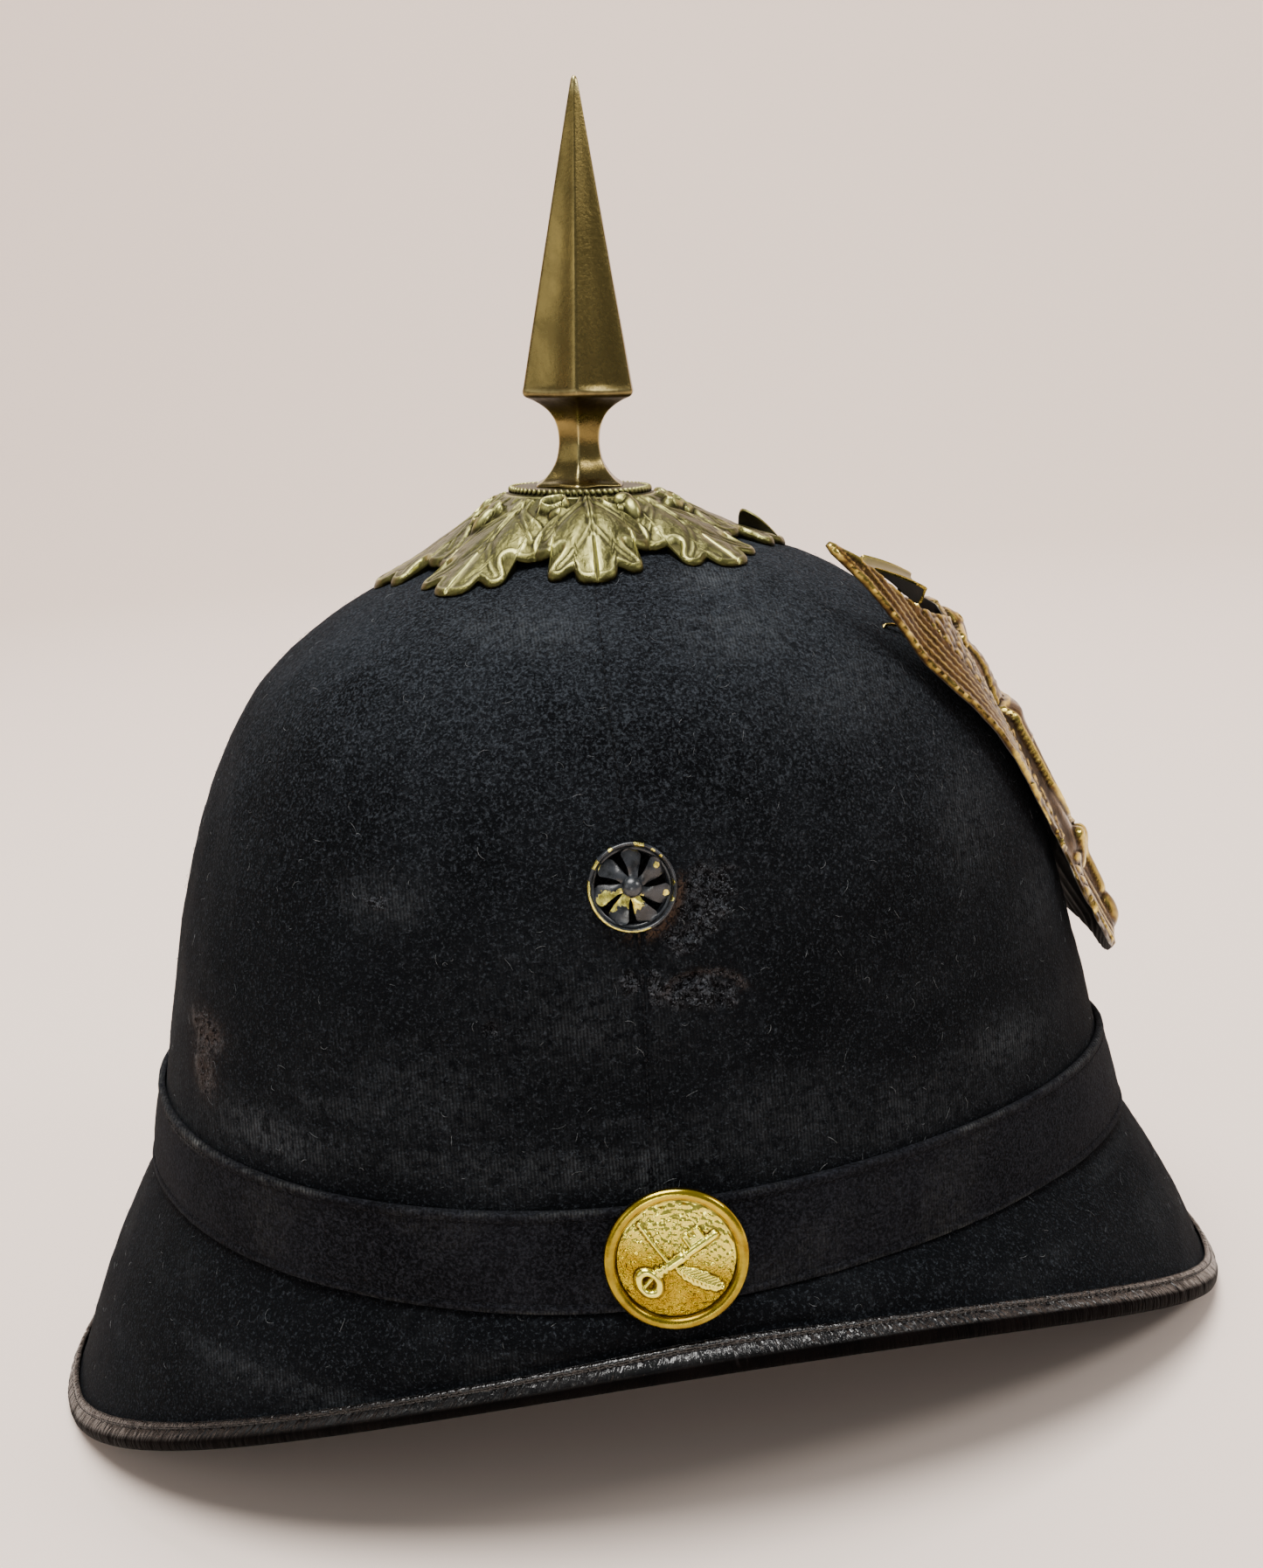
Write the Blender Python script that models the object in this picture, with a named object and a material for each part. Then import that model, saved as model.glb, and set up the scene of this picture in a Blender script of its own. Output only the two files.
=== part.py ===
import math

import bpy
import numpy as np
from mathutils import Matrix, Vector
from mathutils.geometry import delaunay_2d_cdt

# Sizes are in millimetres, in the helmet's own frame: x forward, y to the wearer's left, z up.
# The spike stands upright and z is zero at the beaded ring under it.
MM = 0.001

# Crown and wall
APEX_LEVEL = -9.0
BAND_TOP_LEVEL = -139.4
TOP_SLOPE = 0.05
BAND_SLOPE = 0.018
EGG = -0.178              # how much narrower the front is than the back at the band
WALL = 2.6
COLUMNS = 64
CROWN_ROWS = 14
INNER_CROWN_ROWS = 7

# One row per 10 degrees of the dome's arc, from the apex down to the band
CROWN_COLUMNS = ("forward", "back", "half_width")
CROWN = (
    (-6.5, -6.6, 0.0),
    (16.0, -32.0, 23.0),
    (37.0, -54.0, 42.5),
    (56.0, -73.5, 59.0),
    (72.5, -89.0, 71.5),
    (86.5, -99.5, 79.5),
    (97.5, -106.5, 85.0),
    (106.0, -112.0, 89.0),
    (112.5, -115.5, 92.0),
    (119.0, -119.0, 95.3),
)

# Band
BAND_DEPTH = 22.0
BAND_THICK = 1.3
BAND_TOP = {"forward": 120.6, "back": -120.6, "half_width": 96.9, "power": 1.905}
BAND_BOTTOM = {"forward": 128.2, "back": -123.8, "half_width": 99.5, "power": 1.81}
BAND_BOTTOM_SLOPE = 0.009

# Brim and its leather edge
RIM = {"forward": 156.0, "back": -149.5, "half_width": 107.0, "egg": -0.09, "power": 2.0}
RIM_BACK_LEVEL = -225.0
REST_SLOPE = 0.0567        # rise of the two points that the helmet rests on, back to front
REST_ARC = 13.0            # degrees each side of the middle that touch the table
SIDE_ARCH = 41.5
BRIM_ROWS = 4
BRIM_BULGE = 1.6
BINDING_LEATHER = 1.1
BINDING_OUTER_LEG = 6.2
BINDING_INNER_LEG = 5.2
GAP = 0.3

# Brass mount and spike
SPIKE_X = -13.0
LEAF_COUNT = 8
LEAF_SHEET = 1.0
RING_RADIUS = 16.3
SIDE_LEAF_SHORTER = 0.12   # share by which the side leaves are shorter than the front one
LEAF_COLUMNS = ("angle", "reach")
LEAF = (
    (0.0, 50.0),
    (4.5, 49.4),
    (9.0, 45.0),
    (13.5, 46.0),
    (18.75, 40.0),
    (22.5, 37.5),
)
SPIKE_COLUMNS = ("level", "radius", "hollow")
SPIKE = (
    (0.4, 11.6, 0.00),
    (1.2, 11.2, 0.02),
    (2.2, 9.6, 0.04),
    (3.7, 8.4, 0.04),
    (5.9, 6.6, 0.03),
    (8.5, 5.8, 0.02),
    (10.9, 5.6, 0.02),
    (13.3, 5.8, 0.02),
    (15.7, 6.6, 0.03),
    (17.7, 8.0, 0.04),
    (19.3, 10.0, 0.04),
    (20.9, 13.4, 0.04),
    (21.4, 14.6, 0.03),
    (22.2, 15.1, 0.04),
    (23.2, 14.9, 0.05),
    (45.0, 10.2, 0.05),
    (68.0, 5.3, 0.04),
    (90.4, 0.9, 0.00),
)
SPIKE_TIP_LEVEL = 92.8
SPIKE_TURN = -97.0          # degrees, where the ridge nearest the right side points

# Side furniture, right side; the left side is its mirror image
VENT_AT = (-10.8, -85.7, -74.7)
VENT_FACES = (0.05, -0.97, 0.24)
VENT_RADIUS = 9.3
VENT_BLADES = 7
AIR_HOLE_RADIUS = 7.6
BUTTON_AT = (-3.8, -99.9, -150.0)
BUTTON_FACES = (-0.05, -0.991, 0.122)
BUTTON_RADIUS = 15.1

# Front plate: u runs to the wearer's left, v runs up from the plate's lower tip
PLATE_FOOT = (123.6, 0.0, -123.0)
PLATE_UP = (-0.47, 0.0, 0.883)
SHIELD_BEND = 110.0
WING_BEND = 62.0
LEFT_WING_PRESSED = 12.5
WING_TIP_BACK = 4.0
PLATE_SHEET = 1.1
# Half of the plate's outline as (u, v)
PLATE_EDGE = (
    (0.0, 0.0), (7.0, 4.0), (9.0, 12.0), (20.0, 14.0), (27.0, 22.0), (30.0, 33.0), (24.0, 38.0),
    (29.0, 44.0), (28.0, 52.0), (33.5, 59.0), (32.5, 67.0), (38.5, 75.0), (37.5, 83.0),
    (43.0, 91.0), (42.5, 99.0), (47.0, 107.0), (47.0, 116.0), (50.0, 124.0), (50.5, 134.0),
    (51.5, 138.0), (50.0, 140.5), (47.5, 139.0), (43.0, 131.0), (37.0, 121.0), (29.0, 112.0),
    (21.0, 107.0), (12.0, 103.5), (10.0, 112.0), (9.0, 120.0), (0.0, 121.5),
)


def column(table, names, name):
    """One named column of a short table as an array."""
    return np.array([row[names.index(name)] for row in table], float)


def unit(vector):
    array = np.asarray(vector, float)
    return array / np.linalg.norm(array, axis=-1, keepdims=True)


def smoothRows(values, at):
    """Smooth curve through evenly spaced rows, at a fraction from 0 to 1."""
    count = len(values)
    padded = np.concatenate([[2 * values[0] - values[1]], values, [2 * values[-1] - values[-2]]])
    place = np.clip(np.asarray(at, float) * (count - 1), 0, count - 1 - 1e-9)
    low = place.astype(int)
    t = place - low
    a, b, c, d = padded[low], padded[low + 1], padded[low + 2], padded[low + 3]
    return 0.5 * (2 * b + (c - a) * t + (2 * a - 5 * b + 4 * c - d) * t ** 2
                  + (3 * b - a - 3 * c + d) * t ** 3)


def oval(forward, back, halfWidth, egg, power, angles):
    """Plan outline: a superellipse that is wider behind than in front when egg is below zero."""
    cosine, sine = np.cos(angles), np.sin(angles)
    x = (forward + back) / 2 + (forward - back) / 2 * np.sign(cosine) * np.abs(cosine) ** (2 / power)
    y = halfWidth * np.sign(sine) * np.abs(sine) ** (2 / power) * (1 + egg * cosine)
    return x, y


def crownValues(at):
    """Reach, width, level, slope, egg and power of the crown at a fraction of its arc."""
    arc = np.asarray(at, float) * math.pi / 2
    down = 1 - np.cos(arc)
    return (smoothRows(column(CROWN, CROWN_COLUMNS, "forward"), at),
            smoothRows(column(CROWN, CROWN_COLUMNS, "back"), at),
            smoothRows(column(CROWN, CROWN_COLUMNS, "half_width"), at),
            APEX_LEVEL + (BAND_TOP_LEVEL - APEX_LEVEL) * down,
            TOP_SLOPE + (BAND_SLOPE - TOP_SLOPE) * down,
            EGG * np.sin(arc) ** 2,
            2 - 0.095 * np.sin(arc))


def crownRing(at, angles):
    forward, back, halfWidth, level, slope, egg, power = crownValues(at)
    x, y = oval(forward, back, halfWidth, egg, power, angles)
    return np.stack([x, y, level + slope * x], -1)


def crownLevel(x, y):
    """Height of the crown's outer face over the plan points x, y."""
    x, y = np.broadcast_arrays(np.asarray(x, float), np.asarray(y, float))
    low, high = np.full(x.shape, 1e-4), np.ones(x.shape)
    for _ in range(40):
        middle = (low + high) / 2
        forward, back, halfWidth, level, slope, egg, power = crownValues(middle)
        across = (x - (forward + back) / 2) / np.maximum((forward - back) / 2, 1e-6)
        side = y / np.maximum(halfWidth * (1 + egg * np.clip(across, -1, 1)), 1e-6)
        outside = np.abs(across) ** power + np.abs(side) ** power > 1
        low, high = np.where(outside, middle, low), np.where(outside, high, middle)
    return level + slope * x


def restLevel(x):
    return RIM_BACK_LEVEL + REST_SLOPE * (x - RIM["back"])


def rimArch(angles):
    """How far the rim's edge stands above the table: none over the two rest arcs, most at the sides."""
    flat = math.sin(math.radians(REST_ARC)) ** 2
    t = np.clip((np.sin(angles) ** 2 - flat) / (1 - flat), 0, 1)
    start = np.clip(t / 0.06, 0, 1)
    return SIDE_ARCH * t ** 0.86 * start * start * (3 - 2 * start)


def rimFrames(angles):
    """Binding's lowest outer line, its outward plan direction, and the way up the brim from it."""
    x, y = oval(RIM["forward"], RIM["back"], RIM["half_width"], RIM["egg"], RIM["power"], angles)
    edge = np.stack([x, y, restLevel(x) + rimArch(angles)], -1)
    along = np.roll(edge, -1, 0) - np.roll(edge, 1, 0)
    outward = unit(np.stack([along[:, 1], -along[:, 0], np.zeros(len(x))], -1))
    foot = brimTopRing(angles)
    up = unit(foot - edge)
    face = unit(np.cross(along, up))
    return edge, outward, up, face


def bandRing(spec, slope, level, inset, angles):
    x, y = oval(spec["forward"] - inset, spec["back"] + inset, spec["half_width"] - inset, EGG,
                spec["power"], angles)
    return np.stack([x, y, level + slope * x], -1)


def brimTopRing(angles):
    inset = BAND_THICK + GAP
    return bandRing(BAND_BOTTOM, BAND_BOTTOM_SLOPE, BAND_TOP_LEVEL - BAND_DEPTH, inset, angles)


def wallRows(rowCount, angles):
    """Rows of the wall's outer face from just under the apex to the brim's felt edge."""
    rows = [crownRing(at, angles) for at in np.linspace(0, 1, rowCount + 1)[1:]]
    foot = brimTopRing(angles)
    rows.append((rows[-1] + foot) / 2)
    rows.append(foot)
    edge, outward, up, face = rimFrames(angles)
    middle = edge - outward * (WALL / 2 + GAP + BINDING_LEATHER) + face * WALL / 2
    straight = middle + up * (BINDING_OUTER_LEG + 1.6)
    for t in np.linspace(0, 1, BRIM_ROWS)[1:]:
        rows.append(foot + (straight - foot) * t + face * BRIM_BULGE * 4 * t * (1 - t))
    rows.append(middle + up * 2.1)
    return rows


def closedWall(outer, apexOuter, inner, apexInner):
    """One closed body from outer and inner rows of the same columns."""
    vertices = [apexOuter] + [p for row in outer for p in row]
    vertices += [apexInner] + [p for row in inner for p in row]
    count = len(outer[0])
    innerStart = 1 + len(outer) * count
    faces = []
    for start, rows, flip in ((0, len(outer), False), (innerStart, len(inner), True)):
        for j in range(count):
            k = (j + 1) % count
            cap = [start, start + 1 + j, start + 1 + k]
            faces.append(cap[::-1] if flip else cap)
            for i in range(rows - 1):
                a, b = start + 1 + i * count, start + 1 + (i + 1) * count
                quad = [a + j, b + j, b + k, a + k]
                faces.append(quad[::-1] if flip else quad)
    lastOuter = 1 + (len(outer) - 1) * count
    lastInner = innerStart + 1 + (len(inner) - 1) * count
    for j in range(count):
        k = (j + 1) % count
        faces.append([lastOuter + j, lastInner + j, lastInner + k, lastOuter + k])
    return vertices, faces


def gridNormals(rows):
    grid = np.array(rows)
    down = np.gradient(grid, axis=0)
    along = np.roll(grid, -1, 1) - np.roll(grid, 1, 1)
    return unit(np.cross(down, along))


def ringBody(section):
    """Closed ring from a list of section lines, each an array of points round the helmet."""
    count, sides = len(section[0]), len(section)
    vertices = [p for line in section for p in line]
    faces = []
    for i in range(sides):
        a, b = i * count, (i + 1) % sides * count
        for j in range(count):
            k = (j + 1) % count
            faces.append([a + j, a + k, b + k, b + j])
    return vertices, faces


def latheBody(profile, segments):
    """Round body from (radius, height) points, the first and last on the axis."""
    angles = np.linspace(0, 2 * math.pi, segments, endpoint=False)
    vertices = [(0, 0, profile[0][1])]
    for radius, height in profile[1:-1]:
        vertices += [(radius * math.cos(a), radius * math.sin(a), height) for a in angles]
    vertices.append((0, 0, profile[-1][1]))
    faces = []
    last, rings = len(vertices) - 1, len(profile) - 2
    for j in range(segments):
        k = (j + 1) % segments
        faces.append([0, 1 + k, 1 + j])
        faces.append([last, 1 + (rings - 1) * segments + j, 1 + (rings - 1) * segments + k])
        for i in range(rings - 1):
            a, b = 1 + i * segments, 1 + (i + 1) * segments
            faces.append([a + j, a + k, b + k, b + j])
    return vertices, faces


def prismBody(outline, low, high):
    """Straight-sided body over a plan outline that runs anticlockwise."""
    count = len(outline)
    vertices = [(x, y, low) for x, y in outline] + [(x, y, high) for x, y in outline]
    faces = [list(range(count))[::-1], list(range(count, 2 * count))]
    faces += [[j, (j + 1) % count, count + (j + 1) % count, count + j] for j in range(count)]
    return vertices, faces


def ringPrism(centre, outer, inner, low, high, segments):
    vertices, faces = [], []
    for radius, height in ((outer, low), (outer, high), (inner, high), (inner, low)):
        for j in range(segments):
            a = 2 * math.pi * j / segments
            vertices.append((centre[0] + radius * math.cos(a), centre[1] + radius * math.sin(a), height))
    for i in range(4):
        a, b = i * segments, (i + 1) % 4 * segments
        for j in range(segments):
            k = (j + 1) % segments
            faces.append([a + j, a + k, b + k, b + j])
    return vertices, faces


def brassMaterial(name, colour, roughness):
    return makeMaterial(name, colour, roughness, 1.0)


def makeMaterial(name, colour, roughness, metallic=0.0):
    material = bpy.data.materials.new(name)
    material.use_nodes = True
    shader = material.node_tree.nodes["Principled BSDF"]
    shader.inputs["Base Color"].default_value = (*colour, 1.0)
    shader.inputs["Roughness"].default_value = roughness
    shader.inputs["Metallic"].default_value = metallic
    return material


def addBody(name, body, material, parent=None, place=None):
    vertices, faces = body
    mesh = bpy.data.meshes.new(name)
    scaled = [tuple(float(c) * MM for c in vertex) for vertex in vertices]
    mesh.from_pydata(scaled, [], [list(map(int, face)) for face in faces])
    mesh.validate()
    mesh.materials.append(material)
    body = bpy.data.objects.new(name, mesh)
    bpy.context.scene.collection.objects.link(body)
    if place is not None:
        body.matrix_local = place
    if parent is not None:
        body.parent = parent
    return body


def joinTools(target, tools, operation):
    """Cut or join hidden tool bodies with a body."""
    for tool in tools:
        tool.hide_render = True
        tool.display_type = "WIRE"
        modifier = target.modifiers.new(operation.lower() + " " + tool.name, "BOOLEAN")
        modifier.operation = operation
        modifier.solver = "EXACT"
        modifier.object = tool


def placeOn(point, faces, upHint=(0, 0, 1), mirror=False):
    """Matrix that stands a body's +Z on a surface, its +Y as near upHint as it goes."""
    point, faces = Vector(point), Vector(faces).normalized()
    if mirror:
        point.y, faces.y = -point.y, -faces.y
    side = Vector(upHint).cross(faces).normalized()
    up = faces.cross(side)
    matrix = Matrix((side, up, faces)).transposed().to_4x4()
    matrix.translation = point * MM
    return matrix


def makeShell(frame):
    angles = np.linspace(0, 2 * math.pi, COLUMNS, endpoint=False)
    outer = wallRows(CROWN_ROWS, angles)
    coarse = wallRows(INNER_CROWN_ROWS, angles)
    normals = gridNormals(coarse)
    inner = [row - normal * WALL for row, normal in zip(coarse, normals)]
    face = rimFrames(angles)[3]
    inner[-1] = outer[-1] - face * WALL
    apex = np.array([-6.5, 0.0, APEX_LEVEL - 6.5 * TOP_SLOPE])
    body = closedWall(outer, apex, inner, apex - np.array([0, 0, WALL]))
    cloth = makeMaterial("felt", (0.018, 0.02, 0.024), 0.95)
    shell = addBody("shell", body, cloth, frame)
    tools = []
    for name, mirror in (("air hole right", False), ("air hole left", True)):
        profile = [(0, -12.0), (AIR_HOLE_RADIUS, -12.0), (AIR_HOLE_RADIUS, 8.0), (0, 8.0)]
        tools.append(addBody(name, latheBody(profile, 24), cloth, frame,
                             placeOn(VENT_AT, VENT_FACES, mirror=mirror)))
    joinTools(shell, tools, "DIFFERENCE")
    return shell


def makeBand(frame):
    angles = np.linspace(0, 2 * math.pi, COLUMNS, endpoint=False)
    bottomLevel = BAND_TOP_LEVEL - BAND_DEPTH
    lines = [
        bandRing(BAND_TOP, BAND_SLOPE, BAND_TOP_LEVEL, 0.0, angles),
        bandRing(BAND_TOP, BAND_SLOPE, BAND_TOP_LEVEL, BAND_THICK, angles),
        bandRing(BAND_BOTTOM, BAND_BOTTOM_SLOPE, bottomLevel, BAND_THICK, angles),
        bandRing(BAND_BOTTOM, BAND_BOTTOM_SLOPE, bottomLevel, 0.0, angles),
    ]
    cloth = makeMaterial("band cloth", (0.02, 0.022, 0.026), 0.85)
    return addBody("hat_band", ringBody(lines), cloth, frame)


def makeBinding(frame):
    angles = np.linspace(0, 2 * math.pi, COLUMNS, endpoint=False)
    edge, outward, up, face = rimFrames(angles)
    half = WALL / 2 + GAP
    outerHalf = half + BINDING_LEATHER
    middle = edge - outward * outerHalf

    def at(across, height):
        return middle + face * across + up * height

    def onTable(across):
        line = middle + outward * across
        line[:, 2] = restLevel(line[:, 0]) + rimArch(angles)
        return line

    lines = [
        at(outerHalf, BINDING_OUTER_LEG), at(half, BINDING_OUTER_LEG + 0.3), at(half, 1.8),
        at(-half, 1.8), at(-half, BINDING_INNER_LEG), at(-outerHalf, BINDING_INNER_LEG - 0.3),
        at(-outerHalf, 1.6), onTable(-1.5), onTable(1.5), at(outerHalf, 1.2),
    ]
    leather = makeMaterial("edge leather", (0.02, 0.014, 0.011), 0.4)
    return addBody("edge_binding", ringBody(lines), leather, frame)


def leafReach(angles):
    """Outline of the brass mount: eight lobed leaves side by side."""
    step = 2 * math.pi / LEAF_COUNT
    off = np.abs((angles + step / 2) % step - step / 2)
    reach = np.interp(np.degrees(off), column(LEAF, LEAF_COLUMNS, "angle"),
                      column(LEAF, LEAF_COLUMNS, "reach"))
    return reach * (1 - SIDE_LEAF_SHORTER * np.sin(angles) ** 2)


def makeLeafBase(frame):
    count = LEAF_COUNT * 10
    angles = np.linspace(0, 2 * math.pi, count, endpoint=False)
    reach = leafReach(angles)
    direction = np.stack([np.cos(angles), np.sin(angles)], -1)
    rim = direction * reach[:, None] + np.array([SPIKE_X, 0])
    rimTop = crownLevel(rim[:, 0], rim[:, 1]) + GAP + 0.35 + LEAF_SHEET
    shoulder = RING_RADIUS + 1.5
    sheet = np.array([0, 0, LEAF_SHEET])

    def topRow(t):
        radius = shoulder + (reach - shoulder) * t
        swell = 1.9 * math.sin(math.pi * t) * (0.75 + 0.25 * np.cos(angles * LEAF_COUNT))
        acorn = 1.3 * math.exp(-((t - 0.28) / 0.16) ** 2) * np.clip(-np.cos(angles * LEAF_COUNT), 0, 1)
        level = -1.4 + (rimTop + 1.4) * t + swell + acorn
        plan = direction * radius[:, None] + np.array([SPIKE_X, 0])
        return np.concatenate([plan, level[:, None]], 1)

    def flatRow(radius, level):
        plan = direction * radius + np.array([SPIKE_X, 0])
        return np.concatenate([plan, np.full((count, 1), level)], 1)

    outer = [flatRow(15.0, -0.1), flatRow(RING_RADIUS, 0.7), flatRow(17.3, -0.4)]
    outer += [topRow(t) for t in (0.0, 0.25, 0.5, 0.76, 1.0)]
    inner = [flatRow(15.5, -1.6), topRow(0.25) - sheet, topRow(0.76) - sheet, topRow(1.0) - sheet]
    bendLeaf(outer[-3:], angles)
    bendLeaf(inner[-2:], angles)
    body = closedWall(outer, np.array([SPIKE_X, 0, -0.1]), inner, np.array([SPIKE_X, 0, -1.6]))
    brass = brassMaterial("pale brass", (0.55, 0.44, 0.2), 0.38)
    return addBody("leaf_base", body, brass, frame)


def bendLeaf(rows, angles):
    """Turn up the tip of the leaf at the left front, as the real one is bent."""
    middle = math.pi / 4
    off = np.abs(angles - middle)
    share = np.clip(1 - off / math.radians(10.0), 0, 1)
    for row in rows:
        radius = np.hypot(row[:, 0] - SPIKE_X, row[:, 1])
        beyond = np.clip(radius - 36.0, 0, None) * share
        direction = np.stack([np.cos(angles), np.sin(angles)], -1)
        row[:, :2] -= direction * (beyond * 0.75)[:, None]
        row[:, 2] += beyond * 0.8


def makeSpike(frame):
    corners = 12
    turn = math.radians(SPIKE_TURN)
    vertices = [(SPIKE_X, 0, SPIKE[0][0])]
    for level, radius, hollow in SPIKE:
        for j in range(corners):
            angle = turn + 2 * math.pi * j / corners
            reach = radius if j % 2 == 0 else radius * (math.cos(math.pi / 6) - hollow)
            vertices.append((SPIKE_X + reach * math.cos(angle), reach * math.sin(angle), level))
    vertices.append((SPIKE_X, 0, SPIKE_TIP_LEVEL))
    last = len(vertices) - 1
    faces = []
    for j in range(corners):
        k = (j + 1) % corners
        faces.append([0, 1 + k, 1 + j])
        top = 1 + (len(SPIKE) - 1) * corners
        faces.append([last, top + j, top + k])
        for i in range(len(SPIKE) - 1):
            a, b = 1 + i * corners, 1 + (i + 1) * corners
            faces.append([a + j, a + k, b + k, b + j])
    brass = brassMaterial("dark brass", (0.3, 0.23, 0.11), 0.35)
    return addBody("spike", (vertices, faces), brass, frame)


def ventBody():
    """Rim, hub and twisted blades as one pierced disc, from a grid of rings and columns."""
    perBlade = 4
    count = VENT_BLADES * perBlade
    radii = [0.0, 2.1, 4.6, 7.4, 8.4, VENT_RADIUS]
    topLevels = [2.1, 1.5, 1.3, 1.3, 2.1, 1.0]
    bottomLevels = [0.3, 0.5, 0.7, 0.3, 0.3, 0.3]
    vertices, index = [], {}

    def vertex(ring, col, top):
        key = (ring, col % count if ring else 0, top)
        if key not in index:
            angle = 2 * math.pi * (col % count) / count + 0.25 * (ring in (2,))
            place = col % perBlade
            twist = (1 - place) * 0.55 if ring == 2 else 0.0
            level = (topLevels if top else bottomLevels)[ring] + twist
            index[key] = len(vertices)
            vertices.append((radii[ring] * math.cos(angle), radii[ring] * math.sin(angle), level))
        return index[key]

    def present(ring, col):
        return ring == 0 or ring >= 3 or col % perBlade in (0, 1)

    faces = []
    rings = len(radii) - 1
    for ring in range(rings):
        for col in range(count):
            if not present(ring, col):
                continue
            for top in (True, False):
                corners = [vertex(ring, col, top), vertex(ring + 1, col, top),
                           vertex(ring + 1, col + 1, top), vertex(ring, col + 1, top)]
                face = [c for i, c in enumerate(corners) if c not in corners[:i]]
                faces.append(face if top else face[::-1])
            if ring == rings - 1 or not present(ring + 1, col):
                faces.append([vertex(ring + 1, col, True), vertex(ring + 1, col, False),
                              vertex(ring + 1, col + 1, False), vertex(ring + 1, col + 1, True)])
            if ring > 0 and not present(ring - 1, col):
                faces.append([vertex(ring, col + 1, True), vertex(ring, col + 1, False),
                              vertex(ring, col, False), vertex(ring, col, True)])
            if ring in (1, 2) and not present(ring, col + 1):
                faces.append([vertex(ring, col + 1, True), vertex(ring + 1, col + 1, True),
                              vertex(ring + 1, col + 1, False), vertex(ring, col + 1, False)])
            if ring in (1, 2) and not present(ring, col - 1):
                faces.append([vertex(ring + 1, col, True), vertex(ring, col, True),
                              vertex(ring, col, False), vertex(ring + 1, col, False)])
    return vertices, faces


def makeVents(frame):
    paint = makeMaterial("chipped black brass", (0.03, 0.03, 0.03), 0.4, 0.5)
    for name, mirror in (("vent_right", False), ("vent_left", True)):
        addBody(name, ventBody(), paint, frame, placeOn(VENT_AT, VENT_FACES, mirror=mirror))


def turned(outline, angle):
    cosine, sine = math.cos(angle), math.sin(angle)
    return [(x * cosine - y * sine, x * sine + y * cosine) for x, y in outline]


def makeButtons(frame):
    gilt = brassMaterial("gilt", (0.8, 0.58, 0.2), 0.3)
    profile = [(0, 0.5), (BUTTON_RADIUS - 1.0, 0.5), (BUTTON_RADIUS, 1.4), (BUTTON_RADIUS - 0.3, 2.6),
               (BUTTON_RADIUS - 1.1, 3.1), (BUTTON_RADIUS - 2.0, 2.7), (BUTTON_RADIUS - 2.7, 2.0),
               (0, 2.0)]
    keyAngle = math.radians(32.0)
    quillAngle = math.radians(-40.0)
    shaft = [(-5.4, -0.55), (9.4, -0.55), (9.4, 0.55), (-5.4, 0.55)]
    bit = [(4.6, 0.3), (8.3, 0.3), (8.3, 3.6), (7.0, 3.6), (7.0, 2.4), (5.9, 2.4), (5.9, 3.6), (4.6, 3.6)]
    quill = [(-9.8, 0.0), (-3.0, -0.35), (2.0, -1.2), (8.0, -1.5), (10.6, 0.0), (7.0, 1.3), (1.5, 0.9),
             (-3.0, 0.35)]
    bowAt = turned([(-7.6, 0.0)], keyAngle)[0]
    for name, mirror in (("button_right", False), ("button_left", True)):
        place = placeOn(BUTTON_AT, BUTTON_FACES, mirror=mirror)
        button = addBody(name, latheBody(profile, 32), gilt, frame, place)
        tools = [
            addBody(name + " key shaft", prismBody(turned(shaft, keyAngle), 1.2, 2.75), gilt, frame, place),
            addBody(name + " key bit", prismBody(turned(bit, keyAngle), 1.3, 2.65), gilt, frame, place),
            addBody(name + " key bow", ringPrism(bowAt, 2.7, 1.3, 1.1, 2.8, 14), gilt, frame, place),
            addBody(name + " quill", prismBody(turned(quill, quillAngle), 1.4, 2.45), gilt, frame, place),
        ]
        joinTools(button, tools, "UNION")


def plateRise(u, v):
    """Relief of the stamped plate: breast, head, shield and the spread of the wings."""
    breast = 1.4 * np.exp(-(u / 13.0) ** 4 - ((v - 82.0) / 20.0) ** 4)
    shield = 3.4 * np.exp(-(u / 15.0) ** 6 - ((v - 60.0) / 27.0) ** 6)
    head = 1.6 * np.exp(-(u / 7.0) ** 2 - ((v - 95.0) / 7.0) ** 2)
    wing = 1.2 * np.clip((np.abs(u) - 14.0) / 20.0, 0, 1) * np.exp(-((v - 96.0) / 34.0) ** 2)
    lower = 2.4 * np.exp(-(u / 18.0) ** 2 - ((v - 22.0) / 14.0) ** 2)
    return breast + shield + head + wing + lower


def plateSheet(u, v, rise):
    """Bend the plate round the crown, the shield flatter than the wings, the left wing pressed closer."""
    up = np.array(PLATE_UP) / np.linalg.norm(PLATE_UP)
    out = np.array([up[2], 0.0, -up[0]])
    high = np.clip((v - 66.0) / 42.0, 0, 1)
    bend = SHIELD_BEND + (WING_BEND - SHIELD_BEND) * high * high * (3 - 2 * high)
    left = np.clip(u / 50.0, 0, 1) ** 2 * np.clip((v - 92.0) / 44.0, 0, 1) * LEFT_WING_PRESSED
    ribbon = np.clip(1 - (np.abs(u) / 14.0) ** 4, 0, 1) * np.clip(v - 106.0, 0, None) * 0.6
    tip = np.clip((v - 112.0) / 28.0, 0, 1) ** 2 * np.clip(np.abs(u) / 50.0, 0, 1) * WING_TIP_BACK
    away = (bend + rise) * np.cos(u / bend) - bend - left - tip - ribbon
    across = (bend + rise) * np.sin(u / bend)
    centre = np.array(PLATE_FOOT) + np.outer(v, up)
    return centre + np.outer(away, out) + np.outer(across, np.array([0.0, 1.0, 0.0]))


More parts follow.
